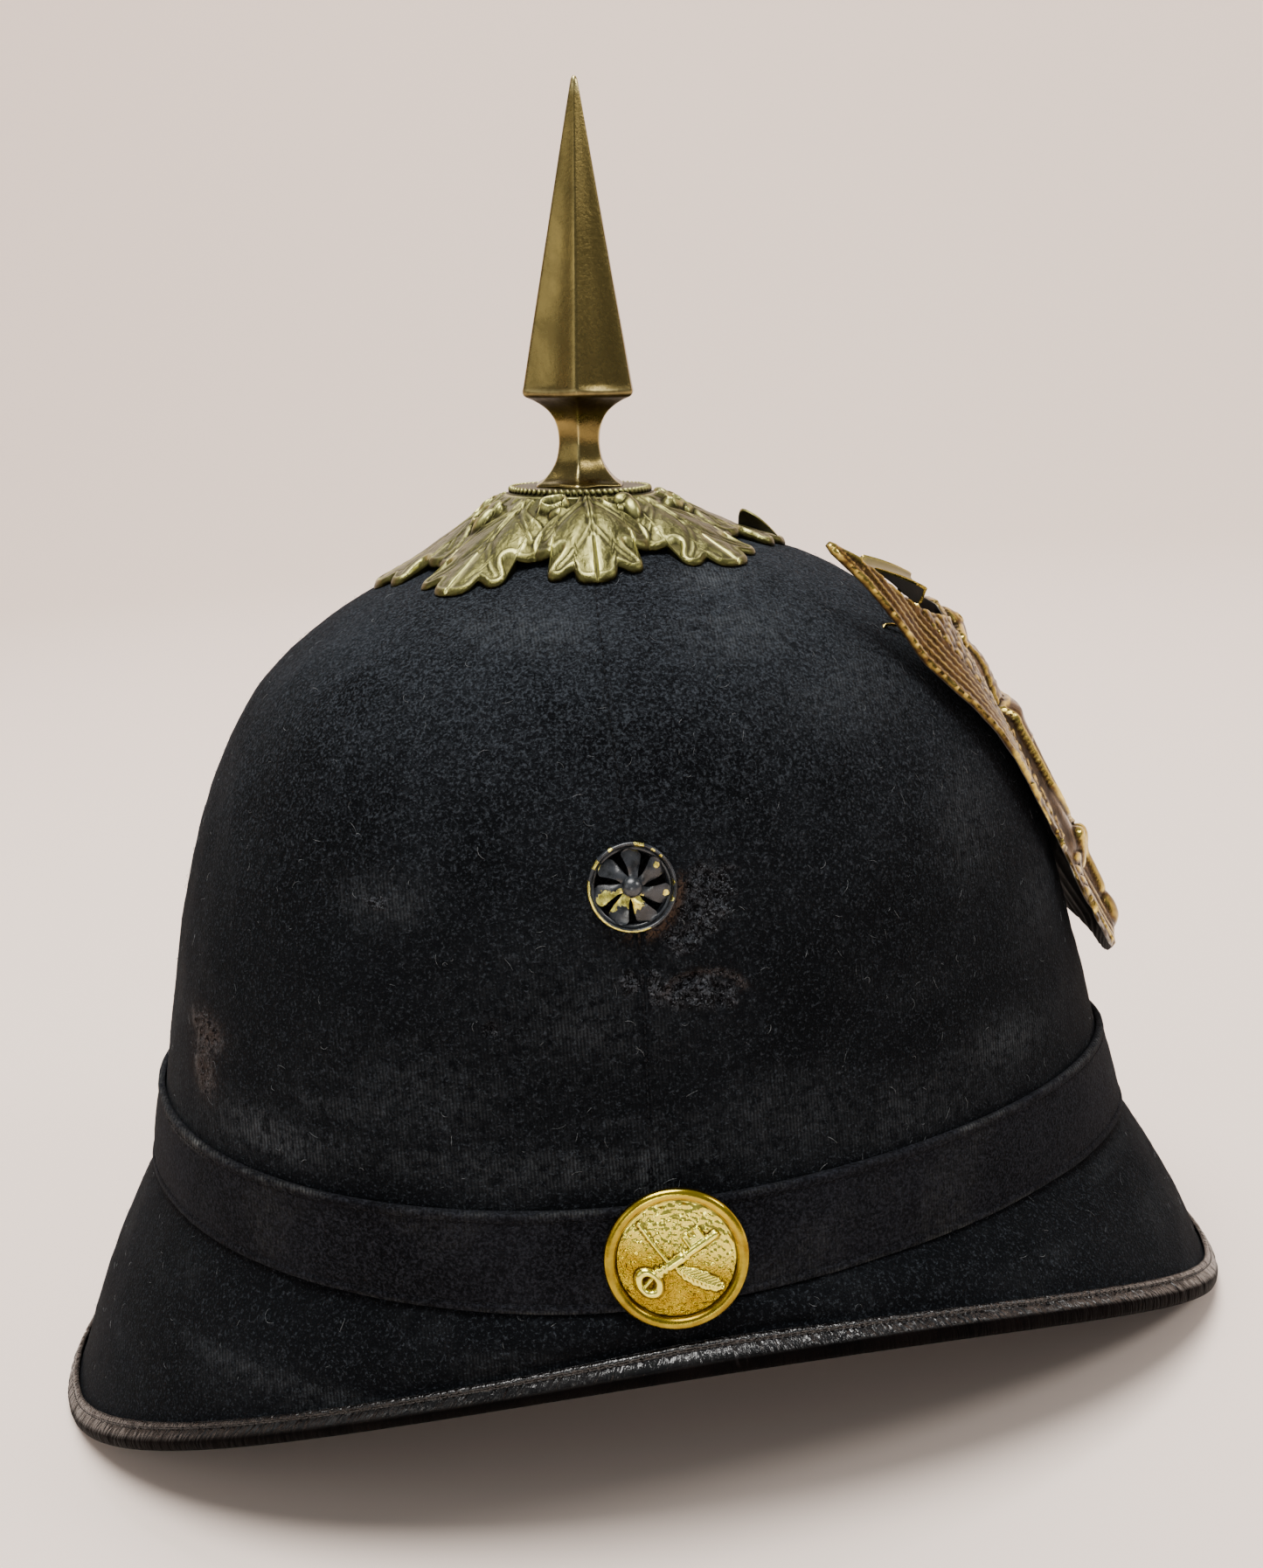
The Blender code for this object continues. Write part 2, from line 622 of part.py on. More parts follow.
def makePlate(frame):
    half = [Vector(point) for point in PLATE_EDGE]
    edge = half + [Vector((-p.x, p.y)) for p in half[-2:0:-1]]
    inside = []
    for v in np.arange(6.0, 142.0, 8.5):
        for u in np.arange(-48.0, 48.1, 8.0):
            inside.append(Vector((u, v)))
    count = len(edge)
    points, _, triangles, *_ = delaunay_2d_cdt(edge + [p for p in inside if insideEdge(p, edge, 1.8)],
                                               [], [list(range(count))], 1, 1e-4)
    u = np.array([p.x for p in points])
    v = np.array([p.y for p in points])
    rise = plateRise(u, v)
    top = plateSheet(u, v, rise + PLATE_SHEET)
    back = plateSheet(u, v, rise)
    size = len(points)
    vertices = list(top) + list(back)
    faces = [list(t) for t in triangles] + [[size + i for i in reversed(t)] for t in triangles]
    used = {}
    for t in triangles:
        for i in range(len(t)):
            used[(t[i], t[(i + 1) % len(t)])] = True
    for a, b in used:
        if (b, a) not in used:
            faces.append([b, a, size + a, size + b])
    bronze = brassMaterial("worn gilt", (0.5, 0.36, 0.17), 0.4)
    return addBody("front_plate", (vertices, faces), bronze, frame)


def insideEdge(point, edge, clear):
    """True where a point lies inside the outline and at least clear from it."""
    inside = False
    for a, b in zip(edge, edge[1:] + edge[:1]):
        if (a.y > point.y) != (b.y > point.y):
            if point.x < (b.x - a.x) * (point.y - a.y) / (b.y - a.y) + a.x:
                inside = not inside
        along = b - a
        t = max(0.0, min(1.0, (point - a).dot(along) / along.length_squared))
        if (point - a - along * t).length < clear:
            return False
    return inside


def buildHelmet():
    for leftover in list(bpy.data.objects):
        bpy.data.objects.remove(leftover, do_unlink=True)
    frame = bpy.data.objects.new("helmet frame", None)
    bpy.context.scene.collection.objects.link(frame)
    tilt = math.atan(REST_SLOPE)
    middle = (RIM["forward"] + RIM["back"]) / 2
    lean = Matrix.Rotation(tilt, 4, "Y")
    foot = lean @ Vector((middle, 0, restLevel(middle)))
    frame.matrix_local = Matrix.Translation(-foot * MM) @ lean
    makeShell(frame)
    makeBand(frame)
    makeBinding(frame)
    makeLeafBase(frame)
    makeSpike(frame)
    makeVents(frame)
    makeButtons(frame)
    makePlate(frame)


buildHelmet()
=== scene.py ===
import math

import bpy
import numpy as np
from mathutils import Matrix, Vector
from mathutils.geometry import delaunay_2d_cdt


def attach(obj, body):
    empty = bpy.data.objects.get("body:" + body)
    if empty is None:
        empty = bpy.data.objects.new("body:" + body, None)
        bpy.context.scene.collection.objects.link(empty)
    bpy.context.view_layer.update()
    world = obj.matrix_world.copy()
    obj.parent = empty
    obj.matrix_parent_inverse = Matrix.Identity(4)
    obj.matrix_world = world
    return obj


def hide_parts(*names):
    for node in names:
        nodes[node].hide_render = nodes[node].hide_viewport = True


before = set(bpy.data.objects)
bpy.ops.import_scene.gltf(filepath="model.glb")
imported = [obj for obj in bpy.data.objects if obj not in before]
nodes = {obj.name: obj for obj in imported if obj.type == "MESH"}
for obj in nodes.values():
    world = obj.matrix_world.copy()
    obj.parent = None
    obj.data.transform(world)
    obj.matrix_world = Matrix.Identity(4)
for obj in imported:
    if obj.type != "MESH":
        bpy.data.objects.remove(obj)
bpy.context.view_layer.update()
print("frame loaded, nodes:", sorted(nodes))

# Every shape is worked out in the helmet's own frame: millimetres, +X to the wearer's front,
# +Y to the wearer's left, z 0 at the beaded ring under the spike. toRow leans it forward onto
# the two edges it rests on and turns it into metres.
rest = {"slope": 0.0567, "backLevel": -225.0, "backX": -149.5, "middleX": 3.25}


def restLevel(x):  # the table's height under x: the back level plus slope times the way from the back
    return rest["backLevel"] + rest["slope"] * (x - rest["backX"])


leanMatrix = Matrix.Rotation(math.atan(rest["slope"]), 4, "Y")
footPoint = leanMatrix @ Vector((rest["middleX"], 0, restLevel(rest["middleX"])))
rowMatrix = np.array(Matrix.Scale(0.001, 4) @ Matrix.Translation(-footPoint) @ leanMatrix)


def toRow(points):  # lean turn, then shift to the table, then millimetres to metres
    return np.asarray(points, float) @ rowMatrix[:3, :3].T + rowMatrix[:3, 3]


# small sums used everywhere
def unit(vectors):  # each vector over its own length
    return vectors / np.maximum(np.linalg.norm(vectors, axis=-1, keepdims=True), 1e-12)


def rise(values, low, high):  # 0 below low, 1 above high, 3t^2 - 2t^3 between
    t = np.clip((np.asarray(values, float) - low) / (high - low), 0, 1)
    return t * t * (3 - 2 * t)


def hill(values, middle, width):  # exp of minus the squared distance from middle in widths
    return np.exp(-((np.asarray(values, float) - middle) / width) ** 2)


def softNoise(points, size, seed=0):
    # value noise: a hashed number from -1 to 1 at each corner of cubes of that size, blended by 3t^2 - 2t^3
    place = np.asarray(points, float) / size + 57.3 * (seed + 1)
    cell = np.floor(place).astype(np.int64)
    part = place - cell
    part = part * part * (3 - 2 * part)

    def corner(dx, dy, dz):  # a number from -1 to 1 out of the corner's cell by bit mixing
        mixed = ((cell[..., 0] + dx) * 73856093) ^ ((cell[..., 1] + dy) * 19349663)
        mixed = mixed ^ ((cell[..., 2] + dz) * 83492791)
        mixed = ((mixed ^ (mixed >> 13)) * 1274126177) & 0x7FFFFFFF
        return ((mixed ^ (mixed >> 16)) & 0xFFFF) / 32767.5 - 1

    def edge(dy, dz):  # one corner times 1 - x plus the next times x
        return corner(0, dy, dz) * (1 - x) + corner(1, dy, dz) * x

    x, y, z = part[..., 0], part[..., 1], part[..., 2]
    low, high = (edge(0, dz) * (1 - y) + edge(1, dz) * y for dz in (0, 1))
    return low * (1 - z) + high * z


def layeredNoise(points, size, seed=0, layers=3):  # softNoise plus half of it at half the size, and so on
    return sum(softNoise(points, size / 2 ** i, seed + i) / 2 ** i for i in range(layers))


def spread(rate, count, low, high):
    # count values from low to high, crowded where rate(value) is large: equal steps of its running sum
    fine = np.linspace(low, high, 4001)
    total = np.concatenate([[0], np.cumsum(rate((fine[1:] + fine[:-1]) / 2))])
    return np.interp(np.linspace(0, total[-1], count), total, fine)


def spline(padded, place):  # Catmull-Rom value at fractional row numbers; padded has one more row at each end
    low = place.astype(int)
    t = (place - low).reshape(place.shape + (1,) * (padded.ndim - 1))
    a, b, c, d = padded[low], padded[low + 1], padded[low + 2], padded[low + 3]
    return 0.5 * (2 * b + (c - a) * t + (2 * a - 5 * b + 4 * c - d) * t ** 2 + (3 * b - a - 3 * c + d) * t ** 3)


def openEnds(points):  # one more row at each end, as far out as the last step
    return np.concatenate([2 * points[:1] - points[1:2], points, 2 * points[-1:] - points[-2:-1]])


def curveThrough(points, count, closed=False):  # the spline at count places, evenly along the row number
    points = np.asarray(points, float)
    size = len(points)
    if closed:
        return spline(np.concatenate([points[-1:], points, points[:2]]), np.arange(count) * size / count)
    return spline(openEnds(points), np.linspace(0, size - 1 - 1e-9, count))


def curveAt(values, place):  # the spline through a table's values, at fractional row numbers
    values = np.asarray(values, float)
    return spline(openEnds(values), np.clip(place, 0, len(values) - 1 - 1e-9))


def pointAt(grid, place, length):  # rows of three numbers, straight between the known ones at those lengths
    return np.stack([np.interp(place, length, grid[:, a]) for a in range(3)], -1)


def fullTurn(count):  # that many angles round the circle
    return np.arange(count) * 2 * math.pi / count


def roundOff(values):  # quarter circle: root of one minus the square
    return np.sqrt(np.clip(1 - values ** 2, 0, 1))


def flatPoints(x, y):  # points in the plane, for noise
    return np.stack([x, y, 0 * x], -1)


# meshes from arrays
def gridQuads(rows, columns, closed=True, start=0):
    # faces of a grid whose rows run down and whose columns run anticlockwise seen from outside
    i = np.arange(rows - 1)[:, None] * columns
    j = np.arange(columns if closed else columns - 1)[None, :]
    k = (j + 1) % columns
    return np.stack([i + j, i + columns + j, i + columns + k, i + k], -1).reshape(-1, 4) + start


def fan(tip, first, columns, flip=False):  # triangles from one point to a closed row
    j = np.arange(columns)
    sides = (j, (j + 1) % columns)
    one, two = sides[::-1] if flip else sides
    return np.stack([np.full(columns, tip), first + one, first + two], -1)


def joinRows(one, two, columns):  # faces between two closed rows that start at those point numbers
    j = np.arange(columns)
    k = (j + 1) % columns
    return np.stack([one + j, two + j, two + k, one + k], -1)


def hoopQuads(rows, columns):  # faces of a grid that is closed both ways
    return np.concatenate([gridQuads(rows, columns), joinRows((rows - 1) * columns, 0, columns)])


def sheetQuads(rows, size):  # faces of a two-sided sheet whose every row is a loop of size points, its ends closed
    caps = np.array([[c, c + 1, size - 2 - c, size - 1 - c] for c in range(size // 2 - 1)])
    return np.concatenate([gridQuads(rows, size), caps, caps[:, ::-1] + (rows - 1) * size])


def turnedOut(points, quads):  # the faces the other way round where the volume they close comes out negative
    a, b, c, d = (points[quads[:, i]] for i in range(4))
    volume = (np.cross(c - a, d - b) * (a + b + c + d)).sum()
    return quads[:, ::-1] if volume < 0 else quads


def gridNormals(points):  # cross product of the steps down the rows and along the closed columns
    return unit(np.cross(np.gradient(points, axis=0), np.roll(points, -1, 1) - np.roll(points, 1, 1)))


def newMesh(name, points, quads=(), triangles=(), marks=None, uv=None, place=None):
    # points and faces into a mesh by foreach_set; marks are numbers per point, uv two per point
    points = np.asarray(points, float).reshape(-1, 3)
    if place is not None:
        points = points @ place[:3, :3].T + place[:3, 3]
    quads = np.asarray(quads, np.int32).reshape(-1, 4)
    triangles = np.asarray(triangles, np.int32).reshape(-1, 3)
    corners = np.concatenate([quads.ravel(), triangles.ravel()])
    starts = np.concatenate([np.arange(len(quads)) * 4, len(quads) * 4 + np.arange(len(triangles)) * 3])
    mesh = bpy.data.meshes.new(name)
    mesh.vertices.add(len(points))
    mesh.vertices.foreach_set("co", toRow(points).astype(np.float32).ravel())
    mesh.loops.add(len(corners))
    mesh.loops.foreach_set("vertex_index", corners.astype(np.int32))
    mesh.polygons.add(len(starts))
    mesh.polygons.foreach_set("loop_start", starts.astype(np.int32))
    mesh.polygons.foreach_set("use_smooth", np.ones(len(starts), bool))
    mesh.update(calc_edges=True)
    for mark, values in (marks or {}).items():
        layer = mesh.attributes.new(mark, "FLOAT", "POINT")
        layer.data.foreach_set("value", np.asarray(values, np.float32).ravel())
    if uv is not None:
        layer = mesh.uv_layers.new(name="along")
        layer.data.foreach_set("uv", np.asarray(uv, np.float32).reshape(-1, 2)[corners].ravel())
    return mesh


def turnedMesh(name, rows, tips, marks, place=None):
    # a grid of closed rows with a tip at both ends; each mark is its values on the grid and on the two tips
    columns, size = rows.shape[1], rows.size // 3
    triangles = np.concatenate([fan(size, 0, columns), fan(size + 1, size - columns, columns, True)])
    marks = {mark: np.concatenate([values.ravel(), ends]) for mark, (values, ends) in marks.items()}
    points = np.concatenate([rows.reshape(-1, 3), tips])
    return newMesh(name, points, gridQuads(len(rows), columns), triangles, marks, place=place)


def shellMesh(name, outer, inner, tips, marks):
    # an outer and an inner grid of closed rows, joined at their last rows and each with a tip at its first;
    # each mark is its values on the outer grid and one number for all other points
    columns, size = outer.shape[1], outer.size // 3
    tip = size + inner.size // 3
    quads = np.concatenate([gridQuads(len(outer), columns), gridQuads(len(inner), columns, start=size)[:, ::-1],
                            joinRows(size - columns, tip - columns, columns)])
    triangles = np.concatenate([fan(tip, 0, columns), fan(tip + 1, size, columns, True)])
    points = np.concatenate([outer.reshape(-1, 3), inner.reshape(-1, 3), tips])
    marks = {mark: np.concatenate([values.ravel(), np.full(len(points) - size, inside)])
             for mark, (values, inside) in marks.items()}
    return newMesh(name, points, quads, triangles, marks)


def newPiece(mesh, material, replaced=(), sharp=None):
    # the object of a mesh: it rides on the only body and takes the finish it is given
    if sharp:
        mesh.set_sharp_from_angle(angle=math.radians(sharp))
    mesh.materials.append(material)
    piece = bpy.data.objects.new(mesh.name, mesh)
    bpy.context.scene.collection.objects.link(piece)
    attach(piece, "root")
    if replaced:
        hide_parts(replaced)
    return piece


class Stack:
    # points, faces and marks of several small shapes that become one mesh
    def __init__(self):
        self.points, self.quads, self.triangles, self.marks, self.count = [], [], [], {}, 0

    def add(self, points, quads=(), triangles=(), **marks):  # another part, its faces counted on from the last point
        points = np.asarray(points, float).reshape(-1, 3)
        self.points.append(points)
        if len(quads):
            self.quads.append(np.asarray(quads).reshape(-1, 4) + self.count)
        if len(triangles):
            self.triangles.append(np.asarray(triangles).reshape(-1, 3) + self.count)
        for mark, values in marks.items():
            self.marks.setdefault(mark, []).append(np.broadcast_to(values, len(points)))
        self.count += len(points)

    def mesh(self, name, place=None):  # all the parts as one mesh
        join = lambda parts, width: np.concatenate(parts) if parts else np.zeros((0, width), int)
        marks = {mark: np.concatenate(parts) for mark, parts in self.marks.items()}
        return newMesh(name, np.concatenate(self.points), join(self.quads, 4), join(self.triangles, 3), marks,
                       place=place)


def repeatShape(points, quads, places):
    # one small shape carried by many 4x4 matrices, as one set of points and faces
    points = np.asarray(points, float)
    many = np.einsum("nij,pj->npi", places[:, :3, :3], points) + places[:, None, :3, 3]
    faces = np.asarray(quads)[None] + (np.arange(len(places)) * len(points))[:, None, None]
    return many.reshape(-1, 3), faces.reshape(-1, np.asarray(quads).shape[1])


def tubes(paths, normals, radii):
    # a ring of four points round each place of each path: radius times cosine along the sideways
    # direction plus radius times sine along the normal; the ends are closed by a face each
    count, steps = paths.shape[:2]
    along = unit(np.gradient(paths, axis=1))
    side = unit(np.cross(along, normals))
    up = unit(np.cross(side, along))
    turn = fullTurn(4)
    rings = paths[:, :, None] + radii[:, :, None, None] * (
        side[:, :, None] * np.cos(turn)[:, None] - up[:, :, None] * np.sin(turn)[:, None])
    first = np.arange(4)
    quads = np.concatenate([gridQuads(steps, 4), [first, (steps - 1) * 4 + first[::-1]]])
    faces = quads[None, :, ::-1] + (np.arange(count) * steps * 4)[:, None, None]
    return rings.reshape(-1, 3), faces.reshape(-1, 4)


def stitchTubes(runs, lifts, radius):  # tubes along runs of five points, half as thick at both ends
    thick = np.full(runs.shape[:2], radius) * np.array([0.5, 1, 1, 1, 0.5])
    return tubes(runs, np.repeat(lifts[:, None], 5, 1), thick)


def stitchLoop(line, lifts, length, pitch, long, low, high, radius):
    # stitches along a closed line: each follows it for that long, over it by low plus high times half a sine
    loop, lifts = np.concatenate([line, line[:1]]), np.concatenate([lifts, lifts[:1]])
    starts = np.arange(0, length[-1] - 1, pitch)
    t = np.linspace(0, 1, 5)
    lift = pointAt(lifts, starts, length)
    runs = pointAt(loop, starts[:, None] + long * t, length) + lift[:,
            None] * (low + high * np.sin(math.pi * t))[:, None]
    return stitchTubes(runs, lift, radius)


def ballPoints(rows, columns):  # unit ball on a grid of latitude and longitude, its poles small rings
    lat, lon = np.linspace(0.12, math.pi - 0.12, rows)[:, None], fullTurn(columns)
    ball = np.broadcast_arrays(np.sin(lat) * np.cos(lon), np.sin(lat) * np.sin(lon), np.cos(lat))
    return np.stack(ball, -1).reshape(-1, 3)


def placeOn(point, faces, mirror=False):
    # matrix whose +Z stands on a surface and whose +Y points up as near as it goes: sides by cross products
    point, faces = Vector(point), Vector(faces).normalized()
    if mirror:
        point.y, faces.y = -point.y, -faces.y
    side = Vector((0, 0, 1)).cross(faces).normalized()
    matrix = Matrix((side, faces.cross(side), faces)).transposed().to_4x4()
    matrix.translation = point
    return np.array(matrix)


def latheGrid(profile, columns):
    # profile rows of radius and height, turned round +Z: radius times cosine and sine
    profile, turn = np.asarray(profile, float), fullTurn(columns)
    return np.stack([profile[:, :1] * np.cos(turn), profile[:, :1] * np.sin(turn),
                     np.repeat(profile[:, 1:], columns, 1)], -1)


def toSegments(x, y, starts, ends):  # distance to the nearest of some straight lines, in plan
    x, y = x[..., None], y[..., None]
    starts, ends = np.asarray(starts, float), np.asarray(ends, float)
    dx, dy = (ends - starts).T
    t = np.clip(((x - starts[:, 0]) * dx + (y - starts[:, 1]) * dy) / (dx * dx + dy * dy), 0, 1)
    return np.hypot(x - starts[:, 0] - t * dx, y - starts[:, 1] - t * dy)


def insideOf(x, y, outline, closed=True):
    # signed distance to an outline, plus inside, by counting crossings; one that isn't closed has no last side
    outline = np.asarray(outline, float)
    after = np.roll(outline, -1, 0)
    sides = slice(None if closed else -1)
    near = toSegments(x, y, outline[sides], after[sides]).min(-1)
    crosses = (outline[:, 1] > y[..., None]) != (after[:, 1] > y[..., None])
    rate = (after[:, 0] - outline[:, 0]) / np.where(after[:, 1] == outline[:, 1], 1e-9, after[:, 1] - outline[:, 1])
    left = x[..., None] < outline[:, 0] + (y[..., None] - outline[:, 1]) * rate
    return near * np.where((crosses & left).sum(-1) % 2 == 1, 1, -1)


# node materials
class Finish:
    # a material under work: its node tree, with short calls for the nodes that these finishes use
    def __init__(self, name, **sockets):
        self.material = bpy.data.materials.new(name)
        self.material.use_nodes = True
        self.tree = self.material.node_tree
        self.shader = self.tree.nodes["Principled BSDF"]
        for socket, value in sockets.items():
            self.shader.inputs[socket.replace("_", " ")].default_value = value
        self.coords = self.add("ShaderNodeTexCoord").outputs["Object"]

    def add(self, kind, inputs=None, **settings):  # a node with its settings, each input a value or a socket
        node = self.tree.nodes.new(kind)
        for setting, value in settings.items():
            setattr(node, setting, value)
        for socket, value in (inputs or {}).items():
            target = node.inputs[socket]
            if isinstance(value, bpy.types.NodeSocket):
                self.tree.links.new(value, target)
            else:
                target.default_value = value
        return node

    def noise(self, millimetres, detail=2.0, rough=0.5, coords=None, distortion=0.0):
        # noise with lumps of about that size: its scale is 1000 over the millimetres
        return self.add("ShaderNodeTexNoise", {"Vector": coords or self.coords, "Scale": 1000.0 / millimetres,
                                               "Detail": detail, "Roughness": rough,
                                               "Distortion": distortion}).outputs[0]

    def cracks(self, millimetres, coords):  # distance to the edge of cells of that size
        return self.add("ShaderNodeTexVoronoi", {"Vector": coords, "Scale": 1000.0 / millimetres},
                        feature="DISTANCE_TO_EDGE").outputs["Distance"]

    def mark(self, name):  # a number that the mesh carries at each point
        return self.add("ShaderNodeAttribute", attribute_name=name).outputs["Fac"]

    def maths(self, operation, one, two=0.0, clamp=False):  # one and two joined by the operation
        return self.add("ShaderNodeMath", {0: one, 1: two}, operation=operation, use_clamp=clamp).outputs[0]

    def times(self, one, two, clamp=False):  # one times two
        return self.maths("MULTIPLY", one, two, clamp)

    def plus(self, one, two, clamp=False):  # one plus two
        return self.maths("ADD", one, two, clamp)

    def span(self, value, low, high, toLow=0.0, toHigh=1.0):  # from low and high to toLow and toHigh, held there
        return self.add("ShaderNodeMapRange", {"Value": value, "From Min": low, "From Max": high,
                                               "To Min": toLow, "To Max": toHigh}).outputs[0]

    def mix(self, share, one, two):  # one plus share times the way from one to two
        return self.add("ShaderNodeMix", {0: share, 6: one, 7: two}, data_type="RGBA").outputs[2]

    def stretched(self, scale, coords=None):  # the place times scale along each axis
        return self.add("ShaderNodeMapping", {"Vector": coords or self.coords, "Scale": scale}).outputs[0]

    def bump(self, height, millimetres, strength=1.0, under=None):  # tilts the light by height times millimetres
        inputs = {"Height": height, "Distance": millimetres / 1000.0, "Strength": strength}
        if under is not None:
            inputs["Normal"] = under
        return self.add("ShaderNodeBump", inputs).outputs[0]

    def join(self, **sockets):  # the shader's inputs joined, the material given back
        for socket, value in sockets.items():
            self.tree.links.new(value, self.shader.inputs[socket.replace("_", " ")])
        return self.material


def napFinish(name, dark, light, dusty, sheen):
    # napped wool: flecks between dark and light that thin out where "deep", which is painted shade that darkens
    # the nap towards the bottom; dust and twill where "rub", a black and grey crust where "torn", brown where "rust"
    felt = Finish(name, Roughness=0.95, Specular_IOR_Level=0.04, Sheen_Weight=sheen, Sheen_Roughness=0.5,
                  Sheen_Tint=(0.6, 0.66, 0.75, 1))
    patches = felt.noise(34, 5, 0.62)
    fleck = felt.noise(0.66, 2, 0.7)
    tuft = felt.noise(1.7, 3, 0.7)
    rub, torn, deep = felt.mark("rub"), felt.mark("torn"), felt.mark("deep")
    share = felt.span(fleck, felt.span(deep, 0.0, 1.0, 0.46, 0.55), felt.span(deep, 0.0, 1.0, 0.68, 0.72), 0.0,
                      0.95)
    share = felt.plus(share, felt.span(tuft, felt.span(deep, 0.0, 1.0, 0.45, 0.56), 0.7, 0.0, 0.3))
    share = felt.plus(share, felt.times(felt.span(patches, 0.34, 0.68, -0.08, 0.22),
                                        felt.span(deep, 0.0, 1.0, 1.0, 0.25)))
    share = felt.times(share, felt.span(deep, 0.0, 1.0, 1.0, 0.72), True)
    colour = felt.mix(share, dark, light)
    threads = felt.add("ShaderNodeTexWave",
                       {"Vector": felt.stretched((1, 1, 0.3)), "Scale": 430.0, "Distortion": 1.2,
                                             "Detail": 1.0, "Detail Scale": 2.0},
                       bands_direction="X").outputs["Fac"]
    rubShare = felt.times(rub, felt.span(felt.noise(2.2, 4, 0.75), 0.38, 0.66), True)
    threadShare = felt.times(rubShare, felt.span(threads, 0.2, 0.8, 0.35, 1.0), True)
    colour = felt.mix(threadShare, colour, dusty)
    crumb = felt.noise(0.95, 3, 0.7, distortion=1.2)
    crust = felt.mix(felt.span(tuft, 0.4, 0.6), (0.01, 0.01, 0.012, 1), (0.05, 0.055, 0.064, 1))
    crust = felt.mix(felt.span(crumb, 0.46, 0.6), (0.0006, 0.0006, 0.0008, 1), crust)
    crust = felt.mix(felt.span(felt.noise(0.5, 2), 0.62, 0.7), crust, (0.09, 0.098, 0.11, 1))
    colour = felt.mix(torn, colour, crust)
    rust = felt.times(felt.mark("rust"), felt.span(crumb, 0.42, 0.58), True)
    colour = felt.mix(rust, colour, (0.058, 0.036, 0.025, 1))
    height = felt.plus(felt.times(fleck, 0.8), felt.times(felt.times(threads, rub), 0.35))
    height = felt.plus(height, felt.times(felt.times(crumb, torn), 1.6))
    rough = felt.maths("SUBTRACT", 0.95, felt.times(torn, 0.42))
    nap = felt.bump(height, 0.5, 0.9)
    return felt.join(Base_Color=colour, Roughness=rough, Normal=felt.bump(tuft, 0.6, 0.5, nap))


def brassFinish(name, bright, middle, dirt, grimeAndShade, roughLow, roughHigh, stipple=0.0, blotch=9.0):
    # old brass: high places bright, hollows dark, in between it drifts from one tarnish to another;
    # the marks "high" and "low" come from the relief that the mesh was given, and on some pieces "high" is a painted
    # highlight and "low" painted shade; "plain" keeps the grain off
    brass = Finish(name, Metallic=1.0)
    high, low = brass.mark("high"), brass.mark("low")
    drift = brass.noise(blotch, 5, 0.62, distortion=0.6)
    fine = brass.noise(0.9, 4, 0.7)
    colour = brass.mix(brass.span(drift, 0.36, 0.66), middle, dirt)
    polishAndHighlight = brass.times(high, brass.span(fine, 0.3, 0.62, 0.55, 1.0), True)
    colour = brass.mix(polishAndHighlight, colour, bright)
    hollow = brass.times(low, brass.span(brass.noise(2.2, 3, 0.6), 0.3, 0.6, 0.5, 1.0), True)
    colour = brass.mix(hollow, colour, grimeAndShade)
    rough = brass.span(brass.plus(brass.times(drift, 0.6), brass.times(fine, 0.4)),
                       0.35, 0.65, roughLow, roughHigh)
    rough = brass.plus(rough, brass.times(low, 0.18), True)
    grain = brass.times(brass.noise(0.6, 2, 0.6), brass.span(high, 0.0, 0.7, stipple, 0.0))
    grain = brass.times(grain, brass.maths("SUBTRACT", 1.0, brass.mark("plain")))
    height = brass.plus(brass.times(fine, 0.2), grain)
    # the mark "back" is painted shade: a sheet's face that lies in shade, near black
    back = brass.mark("back")
    colour = brass.mix(back, colour, (0.006, 0.005, 0.004, 1))
    return brass.join(Base_Color=colour, Roughness=brass.maths("MAXIMUM", rough, brass.times(back, 0.7)),
                      Metallic=brass.maths("SUBTRACT", 1.0, back), Normal=brass.bump(height, 0.3, 0.7))


feltCloth = napFinish("napped felt", (0.0016, 0.0019, 0.0025, 1), (0.027, 0.0315, 0.038, 1),
                      (0.062, 0.068, 0.074, 1), 0.01)
bandCloth = napFinish("folded band cloth", (0.0016, 0.0017, 0.0023, 1), (0.0138, 0.0148, 0.0188, 1),
                      (0.075, 0.077, 0.074, 1), 0.01)
spearBrass = brassFinish("tarnished spear brass", (0.55, 0.46, 0.2, 1), (0.19, 0.14, 0.045, 1),
                         (0.11, 0.083, 0.028, 1),
                         (0.03, 0.017, 0.007, 1), 0.15, 0.33, 0.08, 16.0)
leafBrass = brassFinish("oak leaf brass", (0.39, 0.375, 0.135, 1), (0.112, 0.105, 0.034, 1),
                        (0.064, 0.06, 0.019, 1),
                        (0.009, 0.007, 0.003, 1), 0.28, 0.42, 0.5, 7.0)
giltBrass = brassFinish("bright button gilt", (1.0, 0.93, 0.16, 1), (0.5, 0.37, 0.02, 1), (0.33, 0.2, 0.008, 1),
                        (0.05, 0.02, 0.002, 1), 0.1, 0.22, 2.4, 6.0)
plateBrass = brassFinish("worn plate gilt", (0.9, 0.7, 0.16, 1), (0.135, 0.08, 0.023, 1), (0.055, 0.029, 0.011, 1),
                         (0.012, 0.007, 0.004, 1), 0.08, 0.26, 0.3, 4.0)


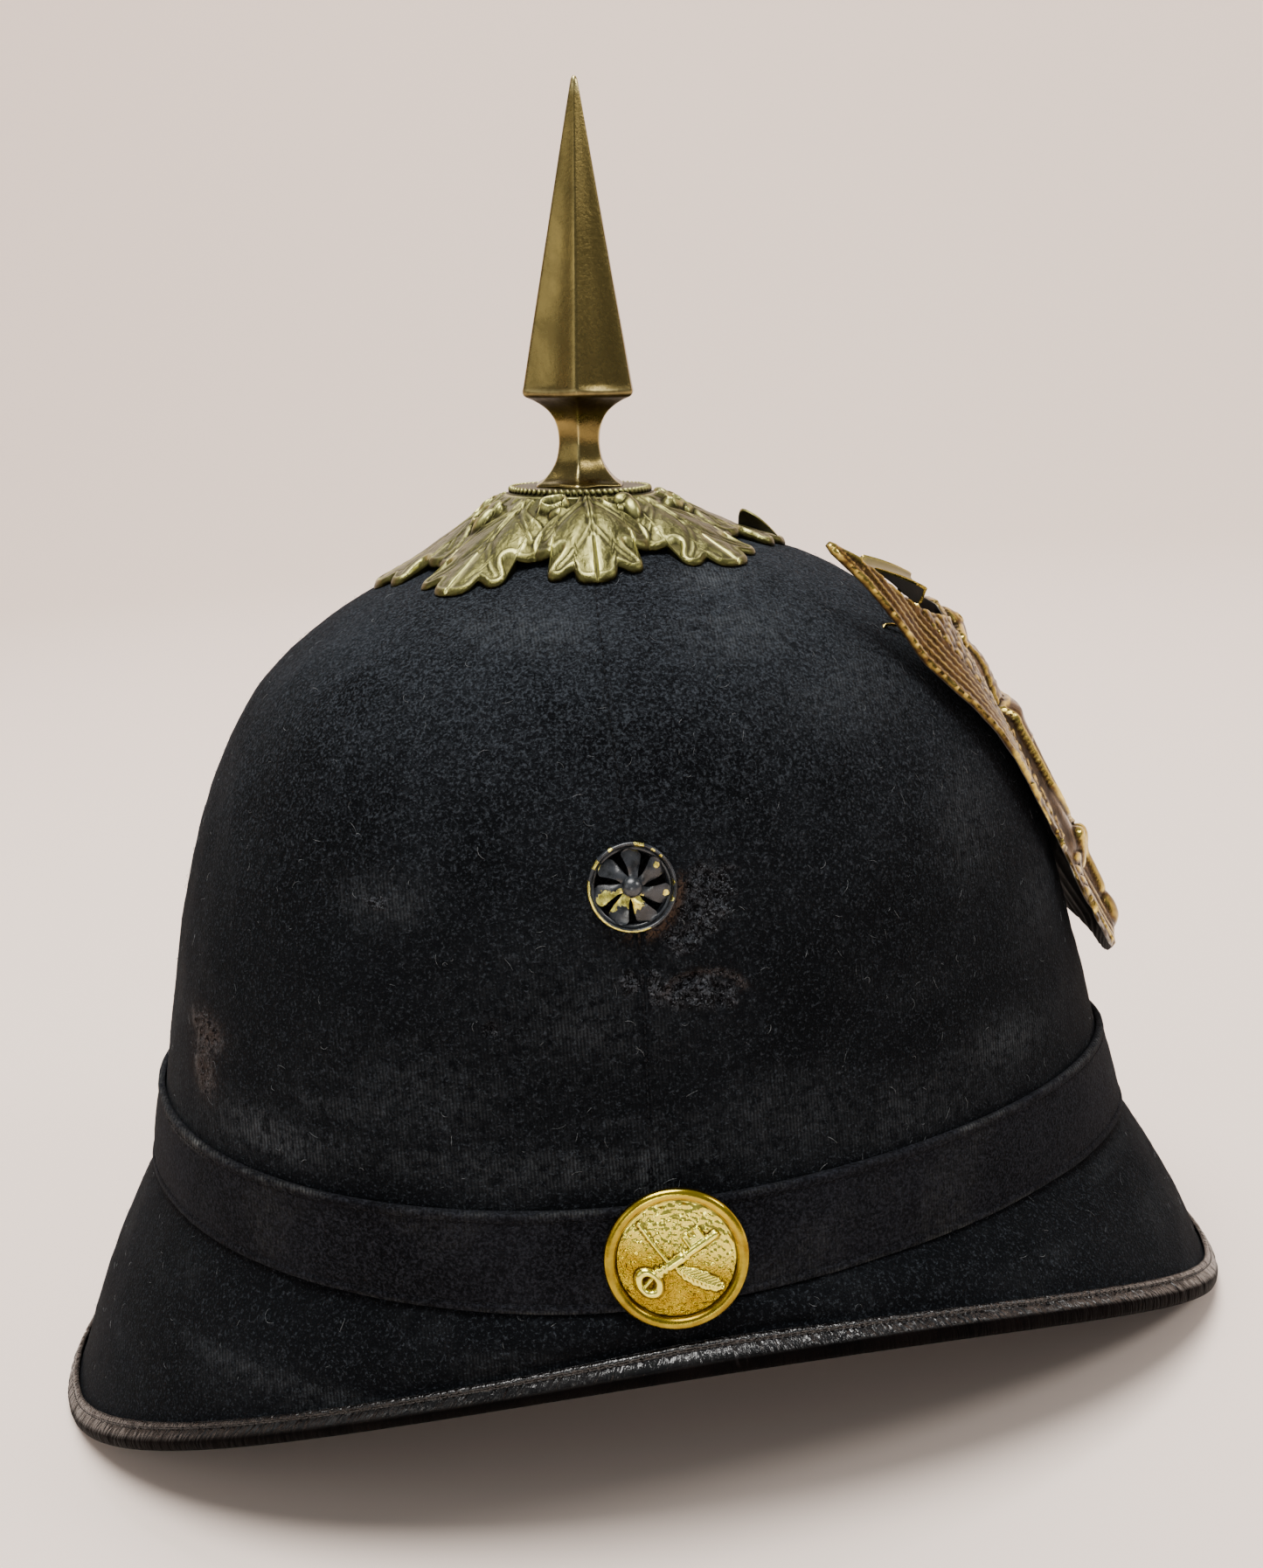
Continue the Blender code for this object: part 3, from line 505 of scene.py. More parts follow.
def paintFinish():
    # black lacquer on brass, chipped where the mark "chip" and a ragged noise say so
    paint = Finish("chipped black lacquer")
    ragged = paint.noise(1.1, 4, 0.65)
    chip = paint.span(paint.plus(paint.mark("chip"), paint.span(ragged, 0.3, 0.7, -0.3, 0.3)), 0.46, 0.52)
    brass = paint.mix(paint.span(paint.noise(0.7, 3), 0.42, 0.66), (0.95, 0.86, 0.2, 1), (0.5, 0.4, 0.07, 1))
    black = paint.mix(paint.span(paint.noise(2.5, 3), 0.35, 0.7), (0.004, 0.005, 0.006, 1), (0.03, 0.034, 0.04, 1))
    height = paint.plus(paint.times(chip, -0.5), paint.times(ragged, 0.3))
    return paint.join(Base_Color=paint.mix(chip, black, brass), Metallic=chip,
                      Roughness=paint.span(ragged, 0.3, 0.7, 0.16, 0.36), Normal=paint.bump(height, 0.25, 0.5))


def leatherFinish():
    # edge leather: creases across it from noise stretched over its width, worn pale on a few ridges; its polish
    # follows the mark "gloss"
    hide = Finish("cracked edge leather")
    length = hide.add("ShaderNodeUVMap", uv_map="along").outputs[0]
    across = hide.stretched((1.0, 0.16, 1.0), length)
    crease = hide.noise(1.5, 3, 0.6, across)
    crack = hide.cracks(2.8, hide.stretched((1.0, 0.3, 1.0), length))
    blotch = hide.noise(13, 4, 0.6)
    worn = hide.times(hide.mark("worn"), hide.span(crease, 0.48, 0.66), True)
    colour = hide.mix(hide.span(blotch, 0.35, 0.68), (0.0009, 0.0008, 0.0009, 1), (0.003, 0.0022, 0.0021, 1))
    colour = hide.mix(worn, colour, (0.017, 0.015, 0.015, 1))
    height = hide.plus(hide.times(crease, 1.4), hide.span(crack, 0.0, 0.16, -0.35, 0.0))
    height = hide.plus(height, hide.times(hide.noise(0.5, 2, 0.6), 0.15))
    rough = hide.plus(hide.span(blotch, 0.35, 0.68, 0.1, 0.24), hide.times(worn, 0.3))
    rough = hide.plus(rough, hide.span(hide.mark("gloss"), 0.0, 0.35, 0.36, 0.0))
    return hide.join(Base_Color=colour, Roughness=rough, Normal=hide.bump(height, 0.5, 0.85),
                     Specular_IOR_Level=hide.span(hide.mark("gloss"), 0.0, 1.0, 0.01, 0.7))


def threadFinish(name, dark, light):  # thread, lint or hair: a fine twist between dark and light
    thread = Finish(name, Roughness=0.9, Specular_IOR_Level=0.1)
    twist = thread.noise(0.4, 2)
    return thread.join(Base_Color=thread.mix(thread.span(twist, 0.35, 0.65), dark, light),
                       Normal=thread.bump(twist, 0.1, 0.6))


paintedBrass = paintFinish()
edgeLeather = leatherFinish()
darkThread = threadFinish("dark sewing thread", (0.0015, 0.0015, 0.002, 1), (0.009, 0.01, 0.012, 1))
leatherThread = threadFinish("worn edge thread", (0.006, 0.005, 0.005, 1), (0.05, 0.045, 0.042, 1))
paleLint = threadFinish("pale lint", (0.05, 0.055, 0.06, 1), (0.22, 0.23, 0.24, 1))
greyNap = threadFinish("raised nap", (0.006, 0.008, 0.01, 1), (0.035, 0.042, 0.05, 1))
print("finishes made")


# camera and light, the photograph's own angle
cameraSpec = {
    "position": (-48.457, -434.315, 31.156),  # helmet frame, millimetres
    "azimuth": -6.204, "pitch": 13.512, "roll": -0.521,  # degrees
    "focalPixels": 2053.63, "imageHeight": 1794,
}


def makeCamera():
    # right, up and back of the camera from its azimuth, pitch and roll, leant with the helmet
    azimuth, pitch, roll = (math.radians(cameraSpec[key]) for key in ("azimuth", "pitch", "roll"))
    right = Vector((math.cos(azimuth), math.sin(azimuth), 0))
    level = Vector((-math.sin(azimuth), math.cos(azimuth), 0))
    ahead = level * math.cos(pitch) - Vector((0, 0, 1)) * math.sin(pitch)
    above = Vector((0, 0, 1)) * math.cos(pitch) + level * math.sin(pitch)
    side = right * math.cos(roll) + above * math.sin(roll)
    top = above * math.cos(roll) - right * math.sin(roll)
    turn = leanMatrix.to_3x3() @ Matrix((side, top, -ahead)).transposed()
    data = bpy.data.cameras.new("camera")
    data.sensor_width = 36.0
    data.lens = cameraSpec["focalPixels"] * data.sensor_width / cameraSpec["imageHeight"]
    data.clip_start, data.clip_end = 0.02, 30.0
    camera = bpy.data.objects.new("camera", data)
    camera.matrix_world = Matrix.Translation(toRow(cameraSpec["position"])) @ turn.to_4x4()
    bpy.context.scene.collection.objects.link(camera)
    bpy.context.scene.camera = camera


studio = {
    "floorRadius": 1.7, "bowlRadius": 1.1, "bowlHeight": 2.4, 
    "floorColours": ((0.86, 0.725, 0.64, 1), (0.84, 0.705, 0.62, 1)),
    "worldColour": (0.95, 0.97, 1.0, 1), "worldStrength": 0.36,
    # name, place, aim, size, watts, colour: the key hangs above and a little behind the wearer's right
    "lamps": (
        ("key", (-0.22, -0.3, 1.8), (0, 0, 0.15), 1.1, 56.0, (1.0, 0.98, 0.95)),
        ("side panel", (-1.35, -0.75, 0.75), (0, 0, 0.15), 0.9, 3.4, (1.0, 0.98, 0.93)),
        ("front panel", (-0.2, -1.6, 0.22), (0, 0, 0.15), 0.35, 3.0, (1.0, 0.99, 0.93)),
        ("right floor", (1.3, -0.55, 1.1), (1.25, -0.55, 0), 0.5, 14.0, (1.0, 0.98, 0.95)),
        ("rim", (-0.6, 1.3, 1.3), (0, 0, 0.15), 0.8, 3.0, (1.0, 0.97, 0.94)),
        ("backdrop", (0.3, 0.7, 2.2), (0.3, 2.9, 0.5), 0.9, 60.0, (1.0, 0.96, 0.93)),
    ),
}


def makeStudio():
    # a pale floor: flat out to floorRadius, then behind the helmet a quarter turn up into a wall, open in front
    floorRadius, bowlRadius, columns = studio["floorRadius"], studio["bowlRadius"], 96
    turn, angle = np.linspace(0, math.pi / 2, 16), fullTurn(columns)
    radius = np.concatenate([[0.05, 0.6, 1.2], floorRadius + bowlRadius * np.sin(turn), [floorRadius + bowlRadius]])
    level = np.concatenate([[0, 0, 0], bowlRadius * (1 - np.cos(turn)), [studio["bowlHeight"]]])
    points = latheGrid(np.stack([radius, level], -1), columns)
    points[..., 2] *= rise(np.sin(angle), -0.25, 0.25)
    points = np.concatenate([points.reshape(-1, 3), [[0, 0, 0]]])
    mesh = bpy.data.meshes.new("floor")
    faces = gridQuads(len(radius), columns).tolist() + fan(len(points) - 1, 0, columns).tolist()
    mesh.from_pydata(points.tolist(), [], faces)
    mesh.polygons.foreach_set("use_smooth", np.ones(len(mesh.polygons), bool))
    floor = bpy.data.objects.new("floor", mesh)
    bpy.context.scene.collection.objects.link(floor)
    paper = Finish("pale floor", Roughness=0.8, Specular_IOR_Level=0.2)
    mesh.materials.append(paper.join(Base_Color=paper.mix(paper.noise(600, 2), *studio["floorColours"])))
    world = bpy.data.worlds.new("soft sky")
    world.use_nodes = True
    sky = world.node_tree.nodes["Background"]
    sky.inputs["Color"].default_value = studio["worldColour"]
    sky.inputs["Strength"].default_value = studio["worldStrength"]
    bpy.context.scene.world = world
    for name, place, aim, size, watts, colour in studio["lamps"]:
        data = bpy.data.lights.new(name, "AREA")
        data.shape, data.size, data.energy, data.color = "DISK", size, watts, colour
        lamp = bpy.data.objects.new(name, data)
        lamp.location = place
        lamp.rotation_mode = "QUATERNION"
        lamp.rotation_quaternion = (Vector(place) - Vector(aim)).to_track_quat("Z", "Y")
        bpy.context.scene.collection.objects.link(lamp)


makeCamera()
makeStudio()
print("camera and studio made")


# the wall: crown, band seat and brim
crown = {
    "apexLevel": -9.0, "apexX": -6.5, "bandTopLevel": -139.4, "topSlope": 0.05, "bandSlope": 0.018,
    "egg": -0.178, "flatter": -0.095, "wall": 2.6,
    # reach forward, reach back and half width, a step of ten degrees of the arc each
    "forward": (-6.5, 16.0, 37.0, 56.0, 72.5, 86.5, 97.5, 106.0, 112.5, 119.0),
    "back": (-6.6, -32.0, -54.0, -73.5, -89.0, -99.5, -106.5, -112.0, -115.5, -119.0),
    "halfWidth": (0.0, 23.0, 42.5, 59.0, 71.5, 79.5, 85.0, 89.0, 92.0, 95.3),
    "rows": 128, "columns": 408,
    "lumps": 0.45,  # how uneven the cloth lies over its foundation
}
band = {
    "depth": 22.0, "thick": 1.3, "bottomSlope": 0.009,
    "top": {"forward": 120.6, "back": -120.6, "halfWidth": 96.9, "power": 1.905},
    "bottom": {"forward": 128.2, "back": -123.8, "halfWidth": 99.5, "power": 1.81},
}
rim = {
    "forward": 156.0, "back": -149.5, "halfWidth": 107.0, "egg": -0.09,
    "restArc": 13.0, "sideArch": 41.5, "bulge": 1.6, "leather": 1.1, "outerLeg": 6.2, "innerLeg": 5.2, "gap": 0.3,
}
airHole = {"at": (-10.8, -85.7, -74.7), "faces": (0.05, -0.97, 0.24), "radius": 7.6}


def oval(forward, back, halfWidth, egg, power, angles):
    # superellipse in plan: x from the cosine, y from the sine, each to the power 2/power; y narrows by egg to the
    # front
    cosine, sine = np.cos(angles), np.sin(angles)
    x = (forward + back) / 2 + (forward - back) / 2 * np.sign(cosine) * np.abs(cosine) ** (2 / power)
    return x, halfWidth * np.sign(sine) * np.abs(sine) ** (2 / power) * (1 + egg * cosine)


def crownValues(at):
    # at a fraction of the quarter turn from apex to band: reaches, level by 1 - cos, slope, egg by sin^2, power
    place = np.clip(at, 0, 1) * (len(crown["forward"]) - 1)
    tables = [curveAt(crown[key], place) for key in ("forward", "back", "halfWidth")]
    arc = np.asarray(at, float) * math.pi / 2
    down = 1 - np.cos(arc)
    return (*tables, crown["apexLevel"] + (crown["bandTopLevel"] - crown["apexLevel"]) * down,
            crown["topSlope"] + (crown["bandSlope"] - crown["topSlope"]) * down,
            crown["egg"] * np.sin(arc) ** 2, 2 + crown["flatter"] * np.sin(arc))


def crownRings(at, angles):  # the crown's ovals, each at its level plus slope times x
    forward, back, halfWidth, level, slope, egg, power = crownValues(np.asarray(at, float)[:, None])
    x, y = oval(forward, back, halfWidth, egg, power, angles[None])
    return np.stack([x, y, level + slope * x], -1)


def crownLevel(x, y):  # height of the crown's outer face over plan points, by halving the arc fraction
    low, high = np.full(np.shape(x), 1e-4), np.ones(np.shape(x))
    for _ in range(36):
        middle = (low + high) / 2
        forward, back, halfWidth, level, slope, egg, power = crownValues(middle)
        across = (x - (forward + back) / 2) / np.maximum((forward - back) / 2, 1e-6)
        side = y / np.maximum(halfWidth * (1 + egg * np.clip(across, -1, 1)), 1e-6)
        outside = np.abs(across) ** power + np.abs(side) ** power > 1
        low, high = np.where(outside, middle, low), np.where(outside, high, middle)
    return level + slope * x


def bandRing(spec, slope, level, inset, angles):
    # an edge of the band, drawn in by inset, at level plus slope times x
    x, y = oval(spec["forward"] - inset, spec["back"] + inset, spec["halfWidth"] - inset, crown["egg"],
                spec["power"], angles)
    return np.stack([x, y, level + slope * x], -1)


def brimTop(angles):  # where the brim leaves the band's lower edge, inside the band
    level = crown["bandTopLevel"] - band["depth"]
    return bandRing(band["bottom"], band["bottomSlope"], level, band["thick"] + rim["gap"], angles)


def rimFrames(angles):
    # lowest outer line of the binding, plan direction outward, direction up the brim, direction out of its face;
    # the arch at the sides is a power of a soft ramp, onset times log(1 + exp(excess / onset)) of the sine squared
    flat, onset = math.sin(math.radians(rim["restArc"])) ** 2, 0.012
    t = onset * np.log1p(np.exp((np.sin(angles) ** 2 - flat) / onset)) / (1 - flat)
    arch = rim["sideArch"] * t ** 0.86
    x, y = oval(rim["forward"], rim["back"], rim["halfWidth"], rim["egg"], 2.0, angles)
    edge = np.stack([x, y, restLevel(x) + arch], -1)
    finer = np.linspace(0, 2 * math.pi, 2881)[:-1]
    if len(angles) == len(finer):
        along = np.roll(edge, -1, 0) - np.roll(edge, 1, 0)
    else:
        fineAlong = rimFrames(finer)[4]
        along = pointAt(np.concatenate([fineAlong, fineAlong[:1]]), angles % (2 * math.pi),
                        np.append(finer, 2 * math.pi))
    outward = unit(np.stack([along[:, 1], -along[:, 0], np.zeros(len(x))], -1))
    up = unit(brimTop(angles) - edge)
    return edge, outward, up, unit(np.cross(along, up)), along, arch


def brimMiddle(angles):  # middle line of the wall at the table, inside the binding
    edge, outward, up, face, _, _ = rimFrames(angles)
    return edge - outward * (crown["wall"] / 2 + rim["gap"] + rim["leather"]), up, face


def wallGrid(at, angles, seatRows, brimRows, legRows):
    # rows down the outer face: crown arc, straight seat under the band, bulged brim, straight leg in the binding
    rows = list(crownRings(at, angles))
    foot = brimTop(angles)
    last = rows[-1]
    rows += [last + (foot - last) * t for t in np.linspace(0, 1, seatRows + 1)[1:]]
    middle, up, face = brimMiddle(angles)
    middle = middle + face * crown["wall"] / 2
    straight = middle + up * (rim["outerLeg"] + 1.6)
    bulge = face * rim["bulge"] * 4
    rows += [foot + (straight - foot) * t + bulge * t * (1 - t) for t in np.linspace(0, 1, brimRows + 1)[1:]]
    foot = middle + up * 2.1
    rows += [straight + (foot - straight) * t for t in np.linspace(0, 1, legRows + 1)[1:]]
    return np.array(rows)


# worn and torn places on the wearer's right, as the photograph shows them
tornColumns = ("x", "z", "wide", "tall", "deep")
tornPlaces = (
    (6.0, -76.0, 6.0, 5.5, 1.0),
    (3.5, -80.5, 5.5, 5.0, 1.1),
    (-1.0, -86.0, 4.5, 3.5, 0.9),
    (-9.0, -93.5, 4.6, 3.6, 0.9),
    (-0.5, -97.0, 7.5, 4.2, 1.3),
    (7.5, -98.5, 4.5, 3.2, 1.2),
    (-40.2, -103.4, 1.7, 1.9, 2.2),
    (-103.0, -117.0, 4.0, 4.0, 1.0),
    (-104.0, -125.0, 3.0, 5.5, 1.2),
    (-62.8, -79.0, 3.0, 2.0, 0.25),
)
rubColumns = ("x", "z", "wide", "tall", "share")
rubPlaces = (
    (-8.0, -134.0, 3.0, 7.0, 1.0),
    (-30.0, -131.0, 42.0, 3.5, 0.4),
    (48.0, -133.0, 30.0, 4.0, 0.3),
    (-55.0, -118.0, 22.0, 12.0, 0.25),
    (-20.0, -100.0, 26.0, 16.0, 0.2),
    (22.0, -128.0, 22.0, 9.0, 0.25),
    (-86.0, -132.0, 14.0, 5.0, 0.5),
    (-62.0, -79.0, 9.0, 5.0, 0.45),
    (-28.0, -26.0, 16.0, 4.0, 0.5),
    (13.0, -17.5, 9.0, 2.6, 0.9),
    (16.0, -27.0, 14.0, 5.0, 0.6),
    (44.0, -40.0, 20.0, 8.0, 0.35),
    (70.0, -72.0, 10.0, 14.0, 0.4),
    (92.0, -96.0, 8.0, 10.0, 0.3),
    (78.0, -124.0, 14.0, 6.0, 0.5),
)


def placesMask(points, table, columns, reach=1.0):
    # for each place, exp of minus the squared distance in x and z over its size, on the wearer's right
    cells = np.array(table)
    x, z = points[..., 0, None], points[..., 2, None]
    wide, tall = cells[:, columns.index("wide")] * reach, cells[:, columns.index("tall")] * reach
    near = np.exp(-((x - cells[:, 0]) / wide) ** 2 - ((z - cells[:, 1]) / tall) ** 2)
    return near * (points[..., 1, None] < 5)


def feltMarks(points):
    # torn: the torn places with a ragged edge; rub: rubbed places, and soft noise all round the lower crown
    torn = placesMask(points, tornPlaces, tornColumns, 1.15)
    ragged = layeredNoise(points, 2.6, 5)
    tornShare = rise(torn.max(-1) + 0.22 * ragged, 0.42, 0.66)
    rubs = (placesMask(points, rubPlaces, rubColumns) * np.array(rubPlaces)[:, 4]).max(-1)
    soft = rise(layeredNoise(points * np.array([1, 1, 1.6]), 34, 11), 0.1, 1.1) * rise(-points[..., 2], 60, 130)
    streak = rise(softNoise(points * np.array([1, 1, 5.0]), 30, 17), 0.25, 0.9) * 0.35
    rub = np.clip(rubs + 0.2 * soft + 0.7 * streak * rise(-points[..., 2], 95, 125), 0, 1)
    depth = (placesMask(points, tornPlaces, tornColumns) * np.array(tornPlaces)[:, 4]).max(-1)
    # rust: an arc under the right vent's rim and the edge of the lowest torn place; deep: painted shade, the nap
    # darker lower down
    x, z, onRight = points[..., 0] - airHole["at"][0], points[..., 2] - airHole["at"][2], points[..., 1] < 0
    around = np.arctan2(z, x)
    rust = hill(np.hypot(x, z * 1.03), 10.4, 1.1) * rise(around, -1.9, -1.3) * rise(0.35 - around, 0, 0.5) * onRight
    arch = hill(np.hypot((points[..., 0] - 4.0) / 8.6, (points[..., 2] + 98.0) / 5.0), 1.0, 0.13)
    arch = arch * onRight * rise(points[..., 2], -99, -96)
    tornShare = np.maximum(tornShare, 0.8 * rise(arch, 0.3, 0.7))
    rust = np.clip(rust + 0.3 * arch + 0.5 * placesMask(points, tornPlaces[7:9], tornColumns).max(-1), 0, 1)
    deep = rise(-points[..., 2], 15, 105)
    return tornShare, rub, depth + 0.9 * arch, rust, deep


def makeFelt():
    # outer and inner grid of the wall, crowded at the torn places, uneven by soft noise, with the air holes cut
    density = lambda a: (1 + 3.4 * hill(a, 0.04 - math.pi / 2, 0.17) + 2.0 * hill(a, math.radians(-111), 0.035)
                         + 1.6 * hill(a, math.radians(-153), 0.08) + 1.2 * hill(a, math.radians(94), 0.03))
    angles = spread(density, crown["columns"] + 1, -math.pi, math.pi)[:-1]
    rowDensity = lambda a: 1 + 2.2 * rise(a, 0.6, 0.66) * (1 - rise(a, 0.84, 0.93))
    at = spread(rowDensity, crown["rows"], 0.012, 1.0)
    outer = wallGrid(at, angles, 3, 26, 3)
    normals = gridNormals(outer)
    torn, rub, depth, rust, deep = feltMarks(outer)
    lumps = crown["lumps"] * layeredNoise(outer, 24, 3) + 0.12 * layeredNoise(outer, 5, 8)
    keep = 1 - rise(np.arange(len(outer)), len(outer) - 8, len(outer) - 4)  # the leg inside the binding stays true
    keep = keep[:, None] * (1 - 0.85 * hill(outer[..., 2], -143, 7))  # and so does the seat under the band
    ragged = layeredNoise(outer, 1.7, 21, 2)
    crust = torn * (0.55 * ragged - 0.1) - depth * torn * rise(layeredNoise(outer, 3.0, 31, 2), 0.05, 0.55)
    outer = outer + normals * ((lumps * keep) + crust)[..., None]
    inner = wallGrid(np.linspace(0.03, 1.0, 34), angles, 2, 10, 2)
    inner = inner - gridNormals(inner) * crown["wall"]
    face = rimFrames(angles)[3]
    inner[-1] = outer[-1] - face * crown["wall"]
    apex = np.array([crown["apexX"], 0, crown["apexLevel"] + crown["topSlope"] * crown["apexX"]])
    # "deep" carries the painted shade of the lower crown and brim
    marks = {"torn": (torn, 0.0), "rub": (rub, 0.0), "rust": (rust, 0.0), "deep": (deep, 0.0)}
    mesh = shellMesh("felt_wall", outer, inner, [apex, apex - [0, 0, crown["wall"]]], marks)
    felt = newPiece(mesh, feltCloth, "shell")
    cutters = []
    for mirror in (False, True):
        profile = [(0.001, 8.0), (airHole["radius"], 8.0), (airHole["radius"], -12.0), (0.001, -12.0)]
        grid = latheGrid(profile, 40)
        hole = newMesh("air hole tool", grid, gridQuads(4, 40),
                       place=placeOn(airHole["at"], airHole["faces"], mirror=mirror))
        tool = bpy.data.objects.new("air hole tool", hole)
        bpy.context.scene.collection.objects.link(tool)
        cut = felt.modifiers.new("air hole", "BOOLEAN")
        cut.operation, cut.object, cut.solver = "DIFFERENCE", tool, "EXACT"
        cutters.append(tool)
    ready = bpy.data.meshes.new_from_object(felt.evaluated_get(bpy.context.evaluated_depsgraph_get()))
    felt.modifiers.clear()
    felt.data = ready
    for tool in cutters:
        bpy.data.objects.remove(tool)
    return outer, gridNormals(outer), angles


feltPoints, feltNormals, feltAngles = makeFelt()
print("felt wall made")


def onFelt(row, angle):
    # point and normal of the felt at a fractional row and an angle, from its four nearest grid points
    columns = len(feltAngles)
    wrapped = np.append(feltAngles, feltAngles[0] + 2 * math.pi)
    turned = (np.asarray(angle, float) - feltAngles[0]) % (2 * math.pi) + feltAngles[0]
    place = np.interp(turned, wrapped, np.arange(columns + 1))
    low, row = np.floor(place).astype(int), np.clip(row, 0, len(feltPoints) - 1.001)
    top = np.floor(row).astype(int)
    s, t = (place - low)[..., None], (row - top)[..., None]
    pick = lambda grid: ((grid[top, low % columns] * (1 - s) + grid[top, (low + 1) % columns] * s) * (1 - t)
                         + (grid[top + 1, low % columns] * (1 - s) + grid[top + 1, (low + 1) % columns] * s) * t)
    return pick(feltPoints), unit(pick(feltNormals))


# seams down both sides, each a double ridge with a row of stitches
seam = {"halfWidth": 1.9, "ridge": 0.2, "ridgeAt": 0.75, "sink": 0.5, "stitchPitch": 1.45, "stitchLength": 0.95}
seamLine = ((-17.0, -96.5), (-28.8, -94.6), (-45.4, -94.0), (-62.0, -94.0), (-90.1, -93.5), (-113.3, -94.0),
            (-139.0, -94.5),
            (-162.0, -92.9), (-180.0, -91.6), (-190.0, -91.2))  # level and angle on the wearer's right


def seamPath(top, bottom, step, mirror):
    # felt rows whose level lies between top and bottom, at the seam line's angle for that level
    levels = feltPoints[:, np.argmin(np.abs(feltAngles + math.pi / 2)), 2]
    wanted = np.arange(top, bottom, -step)
    rows = np.interp(-wanted, -levels, np.arange(len(levels)))
    table = np.array(seamLine)
    angle = np.radians(np.interp(-wanted, -table[:, 0], table[:, 1]))
    return onFelt(rows, -angle if mirror else angle)


def makeSeam(name, mirror):
    # across the path: edges sunk in the felt, two ridges by exp(-d^2), the groove between them sewn
    cloth, thread = Stack(), Stack()
    for top, bottom in ((-16.0, -66.5), (-83.5, -139.0), (-162.5, -178.4)):
        path, normal = seamPath(top, bottom, 0.5, mirror)
        along = unit(np.gradient(path, axis=0))
        side = unit(np.cross(along, normal))
        across = np.linspace(-1, 1, 17) * seam["halfWidth"]
        wander = 0.25 * softNoise(path * np.array([0, 0, 1.0]), 9, 2)[:, None]
        rough = 0.15 * softNoise(path[:, None] + side[:, None] * across[:, None] * 3, 1.6, 4)
        height = seam["ridge"] * (hill(np.abs(across), seam["ridgeAt"], 0.42) + rough)
        height = height - seam["sink"] * rise(np.abs(across), seam["halfWidth"] * 0.72, seam["halfWidth"]) - 0.05
        points = path[:, None] + side[:, None] * (across[None, :, None] + wander[..., None]) + normal[:,
                None] * height[..., None]
        quads = gridQuads(len(path), len(across), closed=False)
        lower = points - normal[:, None] * 0.7
        rows, columns = points.shape[:2]
        size = rows * columns
        rim1, rim2 = np.arange(columns - 1), np.arange(rows - 1) * columns
        last = (rows - 1) * columns
        sides = np.concatenate([
            np.stack([rim1, rim1 + 1, rim1 + 1 + size, rim1 + size], -1),
            np.stack([last + rim1 + 1, last + rim1, last + rim1 + size, last + rim1 + 1 + size], -1),
            np.stack([rim2 + columns, rim2, rim2 + size, rim2 + columns + size], -1),
            np.stack([rim2 + columns - 1, rim2 + 2 * columns - 1, rim2 + 2 * columns - 1 + size,
                      rim2 + columns - 1 + size], -1)])
        if np.dot(np.cross(points[1, 0] - points[0, 0], points[0, 1] - points[0, 0]), normal[0]) < 0:
            quads, sides = quads[:, ::-1], sides[:, ::-1]
        rub = 0.04 + 0.75 * hill(points[..., 2], -134, 6) + 0.08 * (height > seam["ridge"] * 0.6)
        # the mark "deep" is the wall's painted shade, darker lower down
        cloth.add(np.concatenate([points.reshape(-1, 3), lower.reshape(-1, 3)]),
                  np.concatenate([quads, quads[:, ::-1] + size, sides]),
                  rub=np.tile(rub.ravel(), 2), deep=np.tile(rise(-points[..., 2], 15, 105).ravel(), 2))
        places = np.arange(1.0, (top - bottom) - 1.5, seam["stitchPitch"])
        length = np.arange(len(path)) * 0.5
        start, end = (pointAt(path, places + way, length) for way in (0.0, seam["stitchLength"]))
        lift = pointAt(normal, places, length)
        t = np.linspace(0, 1, 5)[None, :, None]
        run = start[:, None] * (1 - t) + end[:, None] * t + lift[:, None] * (0.02 + 0.22 * np.sin(math.pi * t))
        thread.add(*stitchTubes(run, lift, 0.17))
    newPiece(cloth.mesh(name), feltCloth)
    newPiece(thread.mesh(name + "_stitches"), darkThread)


makeSeam("side_seam_right", False)
makeSeam("side_seam_left", True)
print("side seams made")


# lint, loose hairs and the raised nap
lint = {"hairs": 800, "hairLength": (0.7, 3.2), "hairRadius": 0.03, "nap": 5200, "napLength": (0.5, 1.3),
        "napRadius": 0.035}


def scatterOnFelt(count, seed):
    # places spread over the wall's area: rows and angles drawn, kept by the size of their grid cell
    draw = np.random.default_rng(seed)
    area = np.linalg.norm(np.cross(np.gradient(feltPoints, axis=0), (np.roll(feltPoints, -1, 1) - feltPoints)),
                          axis=-1)
    area[-7:] = 0
    hidden = (feltPoints[..., 2] < -139) & (feltPoints[..., 2] > -161.5 + 0.009 * feltPoints[..., 0])
    area[hidden] = 0
    chosen = draw.choice(area.size, count, p=(area / area.sum()).ravel())
    row, column = np.unravel_index(chosen, area.shape)
    row = row + draw.random(count) * 0.9
    angle = feltAngles[column] + draw.random(count) * 0.01
    return (*onFelt(row, angle), draw)


